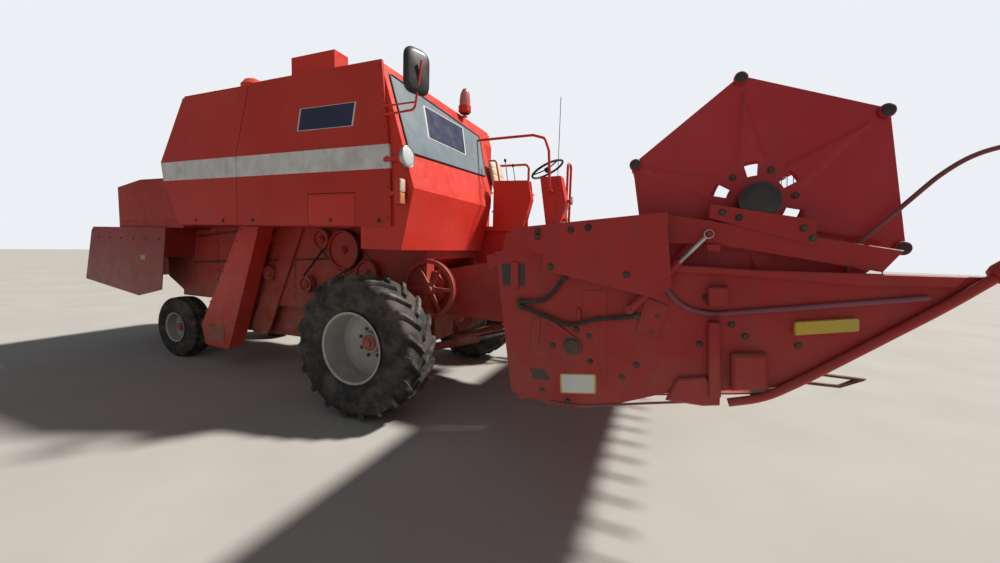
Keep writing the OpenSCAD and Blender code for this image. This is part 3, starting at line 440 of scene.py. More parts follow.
def repeated(surface, places, ways=None):
    """Copies of one surface: copy k is its points turned by ways[k] and moved to places[k]."""
    points, faces = np.asarray(surface[0], float).reshape(-1, 3), np.asarray(surface[1])
    places = np.asarray(places, float).reshape(-1, 3)
    copies = points[None] if ways is None else np.einsum("kij,nj->kni", ways, points)
    shift = np.arange(len(places))[:, None, None] * len(points)
    return (copies + places[:, None]).reshape(-1, 3), (faces[None] + shift).reshape(-1, faces.shape[-1])


def joined(*surfaces):
    """Several surfaces of quads as one."""
    flat = [np.asarray(points, float).reshape(-1, 3) for points, _ in surfaces]
    starts = np.cumsum([0] + [len(points) for points in flat[:-1]])
    faces = [faces + start for (_, faces), start in zip(surfaces, starts)]
    return np.concatenate(flat), np.concatenate(faces)


def facing(normals):
    """Turns whose third axis is each normal."""
    n = unit(np.asarray(normals, float).reshape(-1, 3))
    u = unit(np.cross(np.where(np.abs(n[:, 2:]) < 0.9, (0.0, 0.0, 1.0), (1.0, 0.0, 0.0)), n))
    return np.stack([u, np.cross(n, u), n], -1)


def bolts(name, size, places, out, body="chassis", material=dark_steel):
    """Bolt heads that face out across, size being the radius over a head's corners: a washer, and on it a
    six-sided head whose top edge is drawn in."""
    washer = turned([(0, -0.1), (1.45, -0.1), (1.45, 0.16), (1.35, 0.22), (0.9, 0.22)], count=18)
    crown = turned([(1.0, 0.15), (1.0, 0.78), (0.86, 0.9), (0, 0.92)], count=6)
    points, faces = joined(washer, crown)
    ways = facing([(0, out, 0)] * len(places))
    return piece(name, repeated((points * size, faces), places, ways), material, body, 30)


WHEELS = (("front", FRONT_WHEEL, -0.1005, 0.152, 0.0155, 8,
           [(0.109, -0.108), (0.109, -0.100), (0.088, -0.097), (0.084, -0.05), (0.078, -0.041),
            (0.050, -0.034), (0.044, -0.012), (0.030, -0.004), (0, -0.003)]),
          ("rear", REAR_WHEEL, 0.010, 0.102, 0.0115, 6,
           [(0.060, 0.050), (0.060, 0.066), (0.050, 0.074), (0.047, 0.090), (0.036, 0.098), (0, 0.099)]))
for hand, out in RIGHT_LEFT[::-1]:
    for name, centre, face, ring, size, count, hub in WHEELS:
        middle, body = centre * (1, out, 1), f"wheel_{name}_{hand}"
        angle = np.linspace(0, 2 * np.pi, count, endpoint=False) + 0.3
        places = middle + xyz(ring * np.sin(angle), face * out, ring * np.cos(angle))
        bolts(f"{name}_wheel_nuts_{hand}", size, places, out, body)
        piece(f"{name}_hub_cap_{hand}", turned(hub, middle, (0, out, 0), 40), painted_shade_red, body, 30)


# Tank front: a grey sheet let into the slanted front behind a black rubber channel, with a blank framed plate
# where the photograph has a badge. The sheet is screwed in from behind.
def eased(corners, ease, count=6, closed=True):
    """A path through corners, each cut by a curve from ease before it (a) to ease after it (b):
    (1 - t)^2 * a + 2 t (1 - t) * corner + t^2 * b."""
    c = np.asarray(corners, float)
    back, on = np.roll(c, 1, 0) - c, np.roll(c, -1, 0) - c
    a, b = c + unit(back) * ease, c + unit(on) * ease
    t = np.linspace(0, 1, count)[:, None, None]
    arcs = ((1 - t)**2 * a + 2 * t * (1 - t) * c + t**2 * b).transpose(1, 0, 2)
    if closed:
        return arcs.reshape(-1, c.shape[1])
    return np.concatenate([c[:1], arcs[1:-1].reshape(-1, c.shape[1]), c[-1:]])


def carried(path, radius, count=12, closed=False, hint=LEFT):
    """A round section carried along a path: path + radius * (cos a * u + sin a * v), with u and v square to
    the way on and to the hint; open ends are closed by a ring of no width."""
    p = np.asarray(path, float)
    way = np.roll(p, -1, 0) - np.roll(p, 1, 0) if closed else np.gradient(p, axis=0)
    way = unit(way)
    u = unit(np.cross(way, hint))
    angle = np.linspace(0, 2 * np.pi, count, endpoint=False)[None, :, None]
    points = p[:, None] + radius * (np.cos(angle) * u[:, None] + np.sin(angle) * np.cross(u, way)[:, None])
    if not closed:
        points = np.concatenate([np.repeat(p[:1, None], count, 1), points, np.repeat(p[-1:, None], count, 1)])
    return rings(points, closed)


def raised(corners, normal, height, draw=0.002, sink=0.0015):
    """A thin plate over a flat outline. Its rings: the outline sunk in, the outline just under its height,
    the outline drawn towards the middle at its height, and the middle."""
    c, n = np.asarray(corners, float), np.asarray(normal, float) / np.linalg.norm(normal)
    away = c - c.mean(0)
    inner = c.mean(0) + away * (1 - draw / np.linalg.norm(away, axis=1))[:, None]
    middle = c.mean(0) + 0 * away + n * height
    return rings(np.stack([c - n * sink, c + n * (height - draw * 0.6), inner + n * height, middle]))


def framed(corners, share):
    """An outline drawn towards its middle, to that share of its size."""
    c = np.asarray(corners, float)
    return c.mean(0) + (c - c.mean(0)) * share


SLANT = math.atan(0.3231)
slope_up = np.array([-math.sin(SLANT), 0, math.cos(SLANT)])
slope_out = np.array([math.cos(SLANT), 0, math.sin(SLANT)])


def on_front(corners, off=0.0063):
    """Points (across, up the slope) in metres on the slanted tank front, off out from it."""
    c = np.asarray(corners, float)
    return np.array([1.172, 0, 2.250]) + c[:, :1] * LEFT + c[:, 1:] * slope_up + off * slope_out


navy = weathered_paint("plate_navy", (0.012, 0.018, 0.055), (0.03, 0.036, 0.075), 0.3, 0.3, 0.35)
label_white = weathered_paint("label_white", (0.66, 0.66, 0.64), (0.55, 0.54, 0.50), 0.3, 0.3, 0.4)
channel = on_front(mm((-1150, 360), (-1140, 1150), (820, 1060), (660, 450)))
piece("tank_front_rubber", carried(eased(channel, 0.05), 0.010, 10, True, tuple(slope_out)), rubber,
      "chassis", 40)
badge = on_front(mm((-621, 1017), (312, 1039), (176, 638), (-700, 625)), 0.0062)
piece("front_plate_frame", raised(eased(badge, 0.02), slope_out, 0.003), label_white, "chassis", 30)
piece("front_plate", raised(eased(framed(badge, 0.95), 0.015), slope_out, 0.0042), navy, "chassis", 30)


# Side panels: pressed red doors and sheets. The right side has a blank dark plate in a pale frame; both have
# quarter-turn fasteners along the lower edges and a row of bolts down the front flange.
def upright(y, outline):
    """Flat points (forward, up) stood up at y across."""
    return np.insert(np.asarray(outline, float), 1, y, axis=1)


PANEL_Y = 1.2502
plate = upright(-PANEL_Y, mm((-206, 3083), (528, 3080), (485, 2855), (-253, 2862)))
piece("side_plate_frame", raised(eased(plate, 0.008), RIGHT, 0.0025), label_white, "chassis", 30)
piece("side_plate", raised(eased(framed(plate, 0.95), 0.006), RIGHT, 0.0036), navy, "chassis", 30)
knob = turned(mm((21, -1), (21, 3.5), (18, 5.5), (12.5, 6), (11, 3.5), (0, 3.5)), count=24)
heights = np.linspace(1.98, 3.38, 6)
flange = np.stack([np.interp(heights, [1.896, 2.5, 3.431], [0.908, 0.892, 0.793]), heights], -1)
FASTENERS = (("panel_fasteners_right", -1, "chassis", (-0.95, 0.80)),
             ("door_fasteners", -1, "right_engine_door", (-1.45, -1.95)),
             ("hatch_fastener", -1, "side_hatch", (0.19,)),
             ("panel_fasteners_left", 1, "chassis", (-0.95, -0.10, 0.80)))
for name, out, body, places in FASTENERS:
    height = 1.945 if name == "door_fasteners" else 1.95
    places = [(x, PANEL_Y * out, height) for x in places]
    piece(name, repeated(knob, places, facing([(0, out, 0)] * len(places))), dark_steel, body, 30)
for hand, out in RIGHT_LEFT:
    bolts(f"panel_bolts_{hand}", 0.0085, upright(PANEL_Y * out, flange), out, material=painted_shade_red)


# Lamps: glass lenses and bright rings on red bowls; cream and orange side glass, a red beacon faded to pink,
# and two small lamps on the driver's console.
def lens_finish(name, colour, ribs=260.0):
    """Ribbed glass or clear plastic: a smooth coat over fine upright ribs, hazed by dust."""
    made, tree, shader = finish_named(name, 0.12)
    shader.inputs["Specular IOR Level"].default_value = 0.6
    shader.inputs["Coat Weight"].default_value = 0.4
    hazed = tuple(0.6 * c + 0.12 for c in colour)
    coloured(tree, shader, patches(tree, colour, hazed, 25.0, 4.0, 0.35, 0.75))
    bump(tree, shader, math_of(tree, "SINE", times(tree, along(tree, "Y"), ribs * 2)), 0.5, 0.001)
    return made


clear_glass = lens_finish("clear_glass", (0.62, 0.66, 0.66))
orange_glass = lens_finish("orange_glass", (0.62, 0.20, 0.04))
cream_glass = lens_finish("cream_glass", (0.62, 0.52, 0.38))
pink_glass = lens_finish("pink_glass", (0.52, 0.13, 0.10), 90.0)
LAMPS = (("head", clear_glass, (1.155, -1.292, 2.515), 0.097),
         ("console_high", clear_glass, (2.175, 0.980, 2.370), 0.052),
         ("console_low", orange_glass, (2.115, 0.980, 2.120), 0.032))
dome = np.array([(0.89, 0.02), (0.80, 0.085), (0.60, 0.135), (0.30, 0.165), (0, 0.175)])
hoop = np.array([(0.87, 0.01), (0.89, 0.065), (0.95, 0.09), (1.01, 0.06), (1.035, -0.02), (1.03, -0.24),
                 (0.98, -0.26)])
for name, glass, middle, r in LAMPS:
    piece(name + "_lamp_glass", turned(dome * r, middle, AHEAD, 40), glass, "chassis", 60)
    piece(name + "_lamp_ring", turned(hoop * r, middle, AHEAD, 40), bright_steel, "chassis", 40)
for name, glass, low, high in (("lower", orange_glass, 2.096, 2.198), ("upper", cream_glass, 2.204, 2.322)):
    face = np.insert([(-1.330, low), (-1.256, low), (-1.256, high), (-1.330, high)], 0, 1.0932, axis=1)
    piece(f"side_lamp_{name}", raised(eased(face, 0.012), AHEAD, 0.009, 0.006), glass, "chassis", 50)
beacon = mm((60, -1), (81.5, 21), (81.5, 92), (67.5, 99), (71.2, 150), (61.2, 240), (35, 300.5), (0, 321.2))
for name, section, finish in (("glass", beacon[3:], pink_glass), ("foot", beacon[:4], body_red)):
    piece("beacon_" + name, turned(section, (0.846, 0.380, 3.440), UP, 48), finish, "chassis", 30)

# Mirror: silvered glass in a black housing on a red tube arm.
glass, tree, shader = finish_named("mirror_glass", 0.06, 0.95)
coloured(tree, shader, patches(tree, (0.62, 0.66, 0.70), (0.45, 0.43, 0.40), 12.0, 5.0, 0.5, 0.8))
MIRROR, MIRROR_TURN = np.array([1.240, -1.300, 3.240]), math.radians(70)
across = np.array([math.cos(MIRROR_TURN), math.sin(MIRROR_TURN), 0])
back = np.array([-math.sin(MIRROR_TURN), math.cos(MIRROR_TURN), 0])
corners = mm((-112, -175), (112, -175), (112, 175), (-112, 175))
face = MIRROR + corners[:, :1] * across + corners[:, 1:] * UP + 0.0142 * back
piece("mirror_face", raised(eased(face, 0.09, 8), back, 0.003), glass, "chassis", 40)
arm = mm((850, -1262, 2920), (1228, -1303, 2920), (1303, -1316, 3320))
stay = carried(mm((850, -1262, 3000), (1227, -1300, 2985)), 0.008)
piece("mirror_arm", joined(carried(eased(arm, 0.05, 8, False), 0.0102, 14), stay), body_red, "chassis", 40)


# Driver's seat: a crowned cushion and a backrest in cream vinyl with stitched channels, on a black bellows
# pedestal.
def cushion(middle, along, across, out, half, channels, pull=0.05):
    """A closed pillow over s and t from -1 to 1: thickness = half * (1 - s^6)^(1/2) * (1 - t^6)^(1/2),
    crowned by (1 - s^2)(1 - t^2), its sides drawn in between corners by pull, less a narrow dip at each
    channel's s."""
    u = np.sin(np.linspace(-1, 1, 57) * np.pi / 2)
    s, t = np.meshgrid(u, u, indexing="ij")
    body = np.sqrt(1 - s**6) * np.sqrt(1 - t**6)
    dips = np.exp(-((s[..., None] - np.asarray(channels)) / 0.03)**2).sum(-1)
    top = half[2] * body * (0.80 + 0.20 * (1 - s**2) * (1 - t**2) - 0.22 * dips)
    x, y = half[0] * s * (1 - pull * (1 - t**2) * s**2), half[1] * t * (1 - pull * (1 - s**2) * t**2)
    flat = np.asarray(middle, float) + x[..., None] * along + y[..., None] * across
    upper, lower = flat + top[..., None] * out, flat + (-half[2] * body * 0.82)[..., None] * out
    return joined((upper, grid_faces(57, 57)), (lower, grid_faces(57, 57)[:, ::-1]))


cream_vinyl, tree, shader = finish_named("cream_vinyl", 0.55)
shader.inputs["Sheen Weight"].default_value = 0.15
cracks = between(tree, noise(tree, 38.0, 8.0, (1, 3, 1), 0.7), 0.60, 0.66, 0.0, 0.5)
skin = patches(tree, (0.58, 0.50, 0.36), (0.42, 0.34, 0.24), 5.0)
coloured(tree, shader, mix(tree, cracks, skin, (0.12, 0.09, 0.06)))
grain = add(tree, "TexVoronoi", {"Scale": 420.0, "Vector": add(tree, "TexCoord").outputs["Object"]})
bump(tree, shader, grain.outputs["Distance"], 0.25, 0.0006)
SEAT = (("squab", (1.360, 0.950, 2.474), 4, 1, (0.232, 0.230, 0.058), (-0.35, 0.05, 0.45)),
        ("backrest", (1.092, 0.950, 2.710), 104, -1, (0.218, 0.210, 0.048), (-0.45, 0.0, 0.45)))
for name, middle, lean, up, half, channels in SEAT:
    cos, sin = math.cos(math.radians(lean)), math.sin(math.radians(lean))
    pad = cushion(middle, np.array([cos, 0, sin]), np.array(LEFT), np.array([-sin, 0, cos]) * up, half,
                  channels)
    piece("seat_" + name, pad, cream_vinyl, "chassis", 70)
folds = [(0, 2.001), (0.15, 2.001), (0.15, 2.020), (0.11, 2.024)]
folds += [(0.118 if k % 2 else 0.096, 2.05 + 0.028 * k) for k in range(13)]
folds += [(0.12, 2.412), (0.13, 2.420), (0, 2.425)]
pedestal = piece("seat_pedestal", turned(folds, (1.345, 0.950, 0), UP, 40), rubber, "chassis", 50)
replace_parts(pedestal, "seat")

# Driver's levers: bent rods with black knobs out of the inner console.
levers = [carried(mm((1385, 600, 2600), (1365, 600, 2740), (1345, 602, 2850)), 0.006),
          carried(mm((1475, 650, 2600), (1455, 650, 2700), (1438, 652, 2790)), 0.006)]
ball = mm((0, -22), (10, -20), (17, -4), (18, 10), (12, 22), (0, 26))
knobs = [turned(ball, place, (-0.15, 0, 1), 20) for place in ((1.343, 0.602, 2.862), (1.436, 0.652, 2.802))]
piece("console_levers", joined(*levers), bright_steel, "chassis", 50)
piece("lever_knobs", joined(*knobs), rubber, "chassis", 60)

# Platform floor: a steel tread plate with raised diamonds, its red paint worn through to dull metal.
tread_plate, tree, shader = finish_named("tread_plate", 0.5, 0.3)
waves = [math_of(tree, "SINE", times(tree, math_of(tree, how, along(tree, "X"), along(tree, "Y")), 150.0))
         for how in ("ADD", "SUBTRACT")]
diamond = between(tree, times(tree, *waves), 0.25, 0.6)
skin = patches(tree, (0.30, 0.03, 0.02), (0.16, 0.13, 0.11), 4.0, 7.0, 0.40, 0.60)
coloured(tree, shader, mix(tree, times(tree, diamond, 0.6), skin, (0.34, 0.31, 0.28)))
bump(tree, shader, diamond, 0.7, 0.002)
deck = np.insert(mm((870, 700), (2090, 700), (2090, 1345), (870, 1345)), 2, 2.0002, axis=1)
piece("platform_tread", raised(eased(deck, 0.01), UP, 0.004), tread_plate, "chassis", 30)

# Body sides: welded laps with bolts where the side sheets meet, and a bolted cover over the drum.
for hand, out in RIGHT_LEFT:
    y = 0.6602 * out
    strips, places = [], []
    for x in (-2.485, -1.005, 0.015):
        strip = [(x - 0.02, y, 0.975), (x + 0.02, y, 0.975), (x + 0.02, y, 1.875), (x - 0.02, y, 1.875)]
        strips.append(raised(strip, (0, out, 0), 0.005))
        places += [(x, y + 0.004 * out, z) for z in np.linspace(1.02, 1.83, 7)]
    drum = eased([(-0.52, y, 1.03), (0.20, y, 1.03), (0.20, y, 1.56), (-0.52, y, 1.56)], 0.08)
    strips.append(raised(drum, (0, out, 0), 0.006, 0.004))
    places += [tuple(p) for p in framed(drum, 0.93)[::3] + (0, 0.005 * out, 0)]
    piece(f"body_laps_{hand}", joined(*strips), painted_shade_red, "chassis", 30)
    bolts(f"body_bolts_{hand}", 0.009, places, out)

# Two long rods along the right side: round bars in lugs, gone black, that vanish under the rear cover.
rods = [carried(upright(-0.678, mm(*ends)), 0.009, 14, hint=UP)
        for ends in (((-2900, 1753), (-1635, 1876)), ((-2990, 1380), (-385, 1525)))]
lug = mm((0, 0), (9, 0), (9, 22), (0, 22))
feet = [turned(lug, (x, -0.659, z), RIGHT, 12)
        for x, z in ((-2.50, 1.792), (-1.90, 1.850), (-2.30, 1.418), (-1.20, 1.480))]
piece("side_rods", joined(*rods, *feet), dark_steel, "chassis", 40)


# Engine behind its grille: a plain block in the source; here cast with ribs, a rocker cover, a manifold down
# each side and four injectors, which show through the vents and the open lid.
def square_bar(a, b, size):
    """A block between two corners: a rounded ring in across and up, carried along, its two ends closed."""
    a, b = np.minimum(a, b), np.maximum(a, b)
    e = np.array([(0, 0), (1, 0), (1, 1), (0, 1)])
    ring = eased(xyz(a[1] + e[:, 0] * (b[1] - a[1]), a[2] + e[:, 1] * (b[2] - a[2]), 0), size)
    mid, short = ring.mean(0), 1 - 0.6 * size / (b - a)[1:].min()
    rows = [(a[0], 0), (a[0], short), (a[0] + size * 0.6, 1)]
    rows += [(b[0] - size * 0.6, 1), (b[0], short), (b[0], 0)]
    return rings(np.stack([xyz(x, *(mid[:2] + (ring[:, :2] - mid[:2]) * k).T) for x, k in rows]))


block = [square_bar(*mm(a, b), ease) for a, b, ease in (
    ((-2080, -300, 2012), (-1200, 300, 2790), 0.03), ((-2000, -160, 2800), (-1250, 160, 2846), 0.02),
    ((-2020, -325, 2300), (-1250, -200, 2400), 0.02), ((-2050, 200, 2400), (-1250, 325, 2520), 0.02))]
ribs = [square_bar((x, -0.328, 2.06), (x + 0.03, 0.328, 2.28), 0.008) for x in np.arange(-2.04, -1.24, 0.12)]
head = mm((0, 0), (55, 0), (55, 100), (40, 120), (0, 120))
heads = [turned(head, (x, 0.02, 2.70), (0, 0.3, 1), 24) for x in (-1.95, -1.76, -1.57, -1.38)]
made = piece("engine_dressed", joined(*block, *ribs, *heads), engine_grey, "chassis", 35)
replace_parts(made, "engine")

# Straw hood and rear cover: pressed ribs, hinge bolts, a blank yellow spot, and round tail lamps at the back.
red_glass = lens_finish("red_glass", (0.36, 0.016, 0.012), 200.0)
HOOD_Y, COVER_Y = 1.0002, 1.0502
for hand, out in RIGHT_LEFT:
    ribs = [carried(upright(HOOD_Y * out, ends), radius, 10, hint=hint)
            for ends, radius, hint in (([(-2.45, 2.47), (-3.55, 2.47)], 0.008, UP),
                                       ([(-2.45, 1.95), (-4.05, 1.95)], 0.008, UP),
                                       ([(-2.36, 2.40), (-2.75, 2.00)], 0.006, LEFT))]
    piece(f"hood_ribs_{hand}", joined(*ribs), painted_shade_red, "chassis", 50)
    bolts(f"cover_bolts_{hand}", 0.009, [(x, COVER_Y * out, 1.70) for x in np.linspace(-4.60, -3.10, 6)], out)
    middle = (-4.135, 0.86 * out, 2.10)
    bowl = mm((30, -1), (52, -1), (55, 10), (52, 28), (47, 30))
    glass = mm((50, 26), (46, 36), (30, 43), (0, 46))
    piece(f"tail_lamp_bowl_{hand}", turned(bowl, middle, BACK, 36), black_paint, "chassis", 40)
    piece(f"tail_lamp_glass_{hand}", turned(glass, middle, BACK, 36), red_glass, "chassis", 50)
worn_yellow = weathered_paint("worn_yellow", (0.45, 0.36, 0.05), (0.38, 0.32, 0.10), 0.8, 0.5, 0.4)
spot = eased(upright(-COVER_Y, mm((-3535, 1405), (-3435, 1405), (-3435, 1470), (-3535, 1470))), 0.01)
piece("cover_spot", raised(spot, RIGHT, 0.002, 0.001), worn_yellow, "chassis", 30)
piece("hood_back_rib", carried([(-4.1355, -0.80, 1.98), (-4.1355, 0.80, 1.98)], 0.008, 10, hint=UP),
      painted_shade_red, "chassis", 50)

# Grain elevator: a folded steel leg bolted along both flanges, with a clean-out door at the foot.
LEG_Y = -0.9502
edges = np.concatenate([np.linspace((-1.285, 1.85), (-1.825, 0.50), 10),
                        np.linspace((-1.575, 1.85), (-2.395, 0.62), 10)])
bolts("elevator_bolts", 0.0085, upright(LEG_Y, edges), -1, material=painted_shade_red)
door = eased(upright(LEG_Y, mm((-2270, 360), (-1950, 360), (-1950, 600), (-2270, 600))), 0.03)
piece("elevator_door", raised(door, RIGHT, 0.006, 0.004), painted_shade_red, "chassis", 30)


# Drive pulleys on the right side: turned cast wheels with a rim, a web and a hub, and flat rubber belts
# between them. They stand on stub shafts off the body's side.
def prism(outline, low, high, ease=0.0015):
    """A flat sheet cut to an outline of (forward, up) in metres, from low to high across; the edges of its
    outer face are drawn in by ease along each corner's mean normal. Gives points and a list of faces, the two
    ends many-sided."""
    c = np.asarray(outline, float)
    way = np.roll(c, -1, 0) - c
    area = float(np.sum(c[:, 0] * np.roll(c[:, 1], -1) - c[:, 1] * np.roll(c[:, 0], -1)))
    normal = unit(np.stack([way[:, 1], -way[:, 0]], 1)) * math.copysign(1, area)
    mean = normal + np.roll(normal, 1, 0)
    inner = c - mean / np.maximum(np.sum(mean * mean, 1), 0.8)[:, None] * 2 * ease
    rows = [(c, low), (c, high - math.copysign(ease, high - low)), (inner, high)]
    points, walls = rings(np.stack([upright(y, q) for q, y in rows]))
    n = len(c)
    return points, walls.tolist() + [list(range(n)), list(range(2 * n, 3 * n))]


def sheets(*parts):
    """Several surfaces as one, their faces in a list."""
    points, faces, start = [], [], 0
    for p, f in parts:
        points.append(p)
        faces += [[i + start for i in face] for face in (f if isinstance(f, list) else f.tolist())]
        start += len(p)
    return np.concatenate(points), faces


def belt(a, b, low, high):
    """A flat belt round two pulleys (x, z, radius): the arcs between the tangent points, 11 mm thick."""
    d = math.hypot(b[0] - a[0], b[1] - a[1])
    way, wide = math.atan2(b[1] - a[1], b[0] - a[0]), math.acos((a[2] - b[2]) / d)
    t = np.concatenate([np.linspace(way + wide, way + 2 * np.pi - wide, 40),
                        np.linspace(way - wide, way + wide, 30)])
    middle, r = np.repeat([a[:2], b[:2]], [40, 30], 0), np.repeat([a[2], b[2]], [40, 30])
    ring = np.stack([np.cos(t), np.sin(t)], -1)
    four = [(r + 0.0005, low), (r + 0.011, low), (r + 0.011, high), (r + 0.0005, high)]
    return rings(np.stack([upright(y, middle + ring * q[:, None]) for q, y in four], 1), True)


HINGE_X, HINGE_Z = 1.015, 1.250
pulleys = [(-0.485, 1.760, 0.120, 0.050), (-0.135, 1.640, 0.225, 0.060), (-0.735, 1.200, 0.100, 0.060),
           (0.195, 1.380, 0.150, 0.050), (-1.385, 1.300, 0.090, 0.050)]
wheels = [turned([(0, -0.030), (0.030, -0.030), (0.030, 0), (r, 0), (r, 0.006), (r - 0.006, 0.012),
                  (r - 0.006, w - 0.012), (r, w - 0.006), (r, w), (r - 0.016, w), (r - 0.022, w * 0.55),
                  (0.050, w * 0.50), (0.040, w + 0.006), (0.026, w + 0.010), (0.022, w + 0.024),
                  (0, w + 0.025)], (x, -0.690, z), RIGHT, 56) for x, z, r, w in pulleys]
rim = turned(mm((280, 12), (320, 12), (320, 18), (312, 24), (312, 50), (320, 56), (320, 62), (280, 62),
                (280, 12)), (HINGE_X, -0.660, HINGE_Z), RIGHT, 72)
hub = turned(mm((0, 14), (75, 14), (75, 34), (48, 46), (45, 75), (0, 76)), (HINGE_X, -0.660, HINGE_Z),
             RIGHT, 40)
angle = np.radians(np.arange(0, 360, 60))
spoke = raised(mm((60, -26, 0), (288, -15, 0), (288, 15, 0), (60, 26, 0)), UP, 0.016, 0.004, 0.0)
spokes = repeated(spoke, [(HINGE_X, -0.676, HINGE_Z)] * 6,
                  np.stack([xyz(np.cos(angle), 0, np.sin(angle)), xyz(-np.sin(angle), 0, np.cos(angle)),
                            xyz(0 * angle, -1, 0)], -1))
drives = piece("belt_wheels", joined(*wheels, rim, hub, spokes), painted_shade_red, "chassis", 30)
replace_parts(drives, "drive_pulleys")
runs = [belt(pulleys[a], pulleys[b], low, high)
        for a, b, low, high in ((1, 2, -0.736, -0.708), (1, 0, -0.712, -0.696), (3, 1, -0.737, -0.731))]
piece("belts", joined(*runs), rubber, "chassis", 40)

# Returns elevator: a narrow folded leg close to the body on the right, behind the belts, that takes
# unthreshed heads back up.
leg = mm((-825, 1890), (-995, 1890), (-1785, 640), (-1765, 480), (-1505, 470), (-1445, 560))
leg = prism(leg, -0.6605, -0.6885, 0.003)
piece("returns_leg", leg, painted_shade_red, "chassis", 30)

# Header ends: pressed sheets that carry a rail, a post, boxes, a slotted plate and a tube, all bolted on,
# with a rolled lower edge and hydraulic hoses. Only the right one bears blank labels and a yellow reflector.
TILT = math.radians(14)


def on_table(points):
    """Places (forward, left, up) in the header table's own frame, turned up 14 degrees into the world."""
    x, y, z = np.moveaxis(np.asarray(points, float), -1, 0)
    return xyz(HINGE_X + x * math.cos(TILT) - z * math.sin(TILT), y,
               HINGE_Z + x * math.sin(TILT) + z * math.cos(TILT))


def tabled(surface, out=1):
    """A surface taken from the table's frame into the world: the left (1) or its mirror image (-1)."""
    points, faces = surface
    return on_table(np.asarray(points, float).reshape(-1, 3) * (1, out, 1)), faces


def bent(y, ease, count, *pairs):
    """A path at y across through points in millimetres, its corners eased."""
    return upright(y, eased(mm(*pairs), ease, count, False))


def end_bolts(name, size, y, *pairs, body="header"):
    """Bolt heads on both ends in the table's frame, at points in millimetres on the plane y across."""
    for hand, out in RIGHT_LEFT:
        bolts(f"{name}_{hand}", size, on_table(upright(y, mm(*pairs)) * (1, out, 1)), out, body)


def both(name, surface, material, smooth, body="header"):
    """The piece on the left end of the table and its mirror image on the right; gives the left one."""
    for hand, out in RIGHT_LEFT:
        made = piece(f"{name}_{hand}", tabled(surface, out), material, body, smooth)
    return made


sun_pink = weathered_paint("sun_pink", (0.20, 0.050, 0.075), (0.26, 0.095, 0.125), 0.8, 0.2, 0.5)
worn_plum = weathered_paint("worn_plum", (0.16, 0.022, 0.030), (0.22, 0.060, 0.070), 1.0, 0.2, 0.45)
yellow = weathered_paint("spot_yellow", (0.55, 0.38, 0.04), (0.45, 0.34, 0.10), 0.5, 0.3, 0.4)
SHEET_Y, SHIELD_Y, HOSE_Y = 2.4203, 2.5002, 2.4425
FITTINGS = (  # outer face across, drawn-in edge, outline
    (2.442, 0.004, ((2403, -164), (2713, -249), (3050, -329), (3342, -397), (3296, -430), (3042, -376),
                    (2708, -278), (2397, -194))),
    (2.464, 0.006, ((2490, -434), (2536, -441), (2480, -765), (2432, -758))),
    (2.478, 0.006, ((2515, -285), (2592, -298), (2578, -376), (2501, -364))),
    (2.470, 0.012, ((2553, -583), (2681, -598), (2656, -742), (2526, -739))),
    (2.426, 0.002, ((1687, -312), (1737, -301), (1698, -442), (1648, -451))),
    (2.429, 0.003, ((1703, -232), (1720, -290), (1903, -468), (1916, -448))),
    (2.4275, 0.002, ((2257, -285), (2350, -346), (2276, -485), (2185, -433))),
    (2.450, 0.008, ((2323, -674), (2438, -676), (2480, -751), (2470, -805), (2401, -803), (2254, -766))),
    (2.432, 0.003, ((1637, 7), (1679, -2), (1649, -140), (1607, -133))),
    (2.4225, 0.001, ((1965, -205), (2090, -222), (1996, -690), (1988, -690))),
    (2.436, 0.004, ((1929, -289), (1949, -289), (1938, -368), (1920, -366))))
lug = prism(mm((2546, -99), (2600, -115), (2594, -146), (2544, -131)), 2.4105, 2.418, 0.002)
parts = [prism(mm(*outline), SHEET_Y, face, ease) for face, ease, outline in FITTINGS]
fittings = sheets(*parts[:-1], lug, parts[-1])
pipe = carried(bent(2.4318, 0.06, 6, (2354, -267), (2384, -344), (2495, -405), (3225, -456)), 0.011, 16)
flange = carried(bent(2.4215, 0.08, 6, (1700, -741), (1848, -776), (2198, -783), (2420, -790)), 0.006, 10)
skirt = prism(mm((1821, -67), (2305, -293), (2376, -248), (2403, -16), (2395, -16), (2367, -243),
                 (2304, -281), (1825, -58)), 2.4925, 2.4665, 0.001)
both("header_fittings", fittings, header_red, 40)
both("header_tube", joined(pipe, flange), sun_pink, 50)
both("shield_fold", skirt, sun_pink, 30)
end_bolts("header_bolts", 0.0105, SHEET_Y, (1907, -391), (1770, -455), (1963, -432), (2079, -651),
          (2157, -597), (1943, -557), (2439, -531), (2579, -463), (2801, -583), (1665, -680), (1790, -745),
          (2620, -520), (2500, -330), (2560, -345), (2290, -380), (2250, -450))
end_bolts("shield_bolts", 0.0115, SHIELD_Y, (2074, 83), (1993, 91), (1829, 96), (1834, 122), (1860, -60),
          (2200, -165))
label = upright(-SHEET_Y, eased(mm((1777, -602), (1959, -623), (1940, -721), (1760, -703)), 0.012))
small = upright(-SHEET_Y, mm((1622, -560), (1705, -572), (1717, -630), (1630, -618)))
spot = upright(-2.4435, eased(mm((2801, -482), (3007, -497), (2999, -546), (2792, -535)), 0.008))
for name, outline, height, sink, finish in (
        ("label_edge", label, 0.0012, 0.0015, yellow), ("small_plate", small, 0.0015, 0.0015, black_paint),
        ("label_face", framed(label, 0.90), 0.0021, 0.0015, label_white),
        ("side_reflector", spot, 0.004, 0.023, yellow)):
    piece(name, tabled(raised(outline, RIGHT, height, sink=sink)), finish, "header", 30)

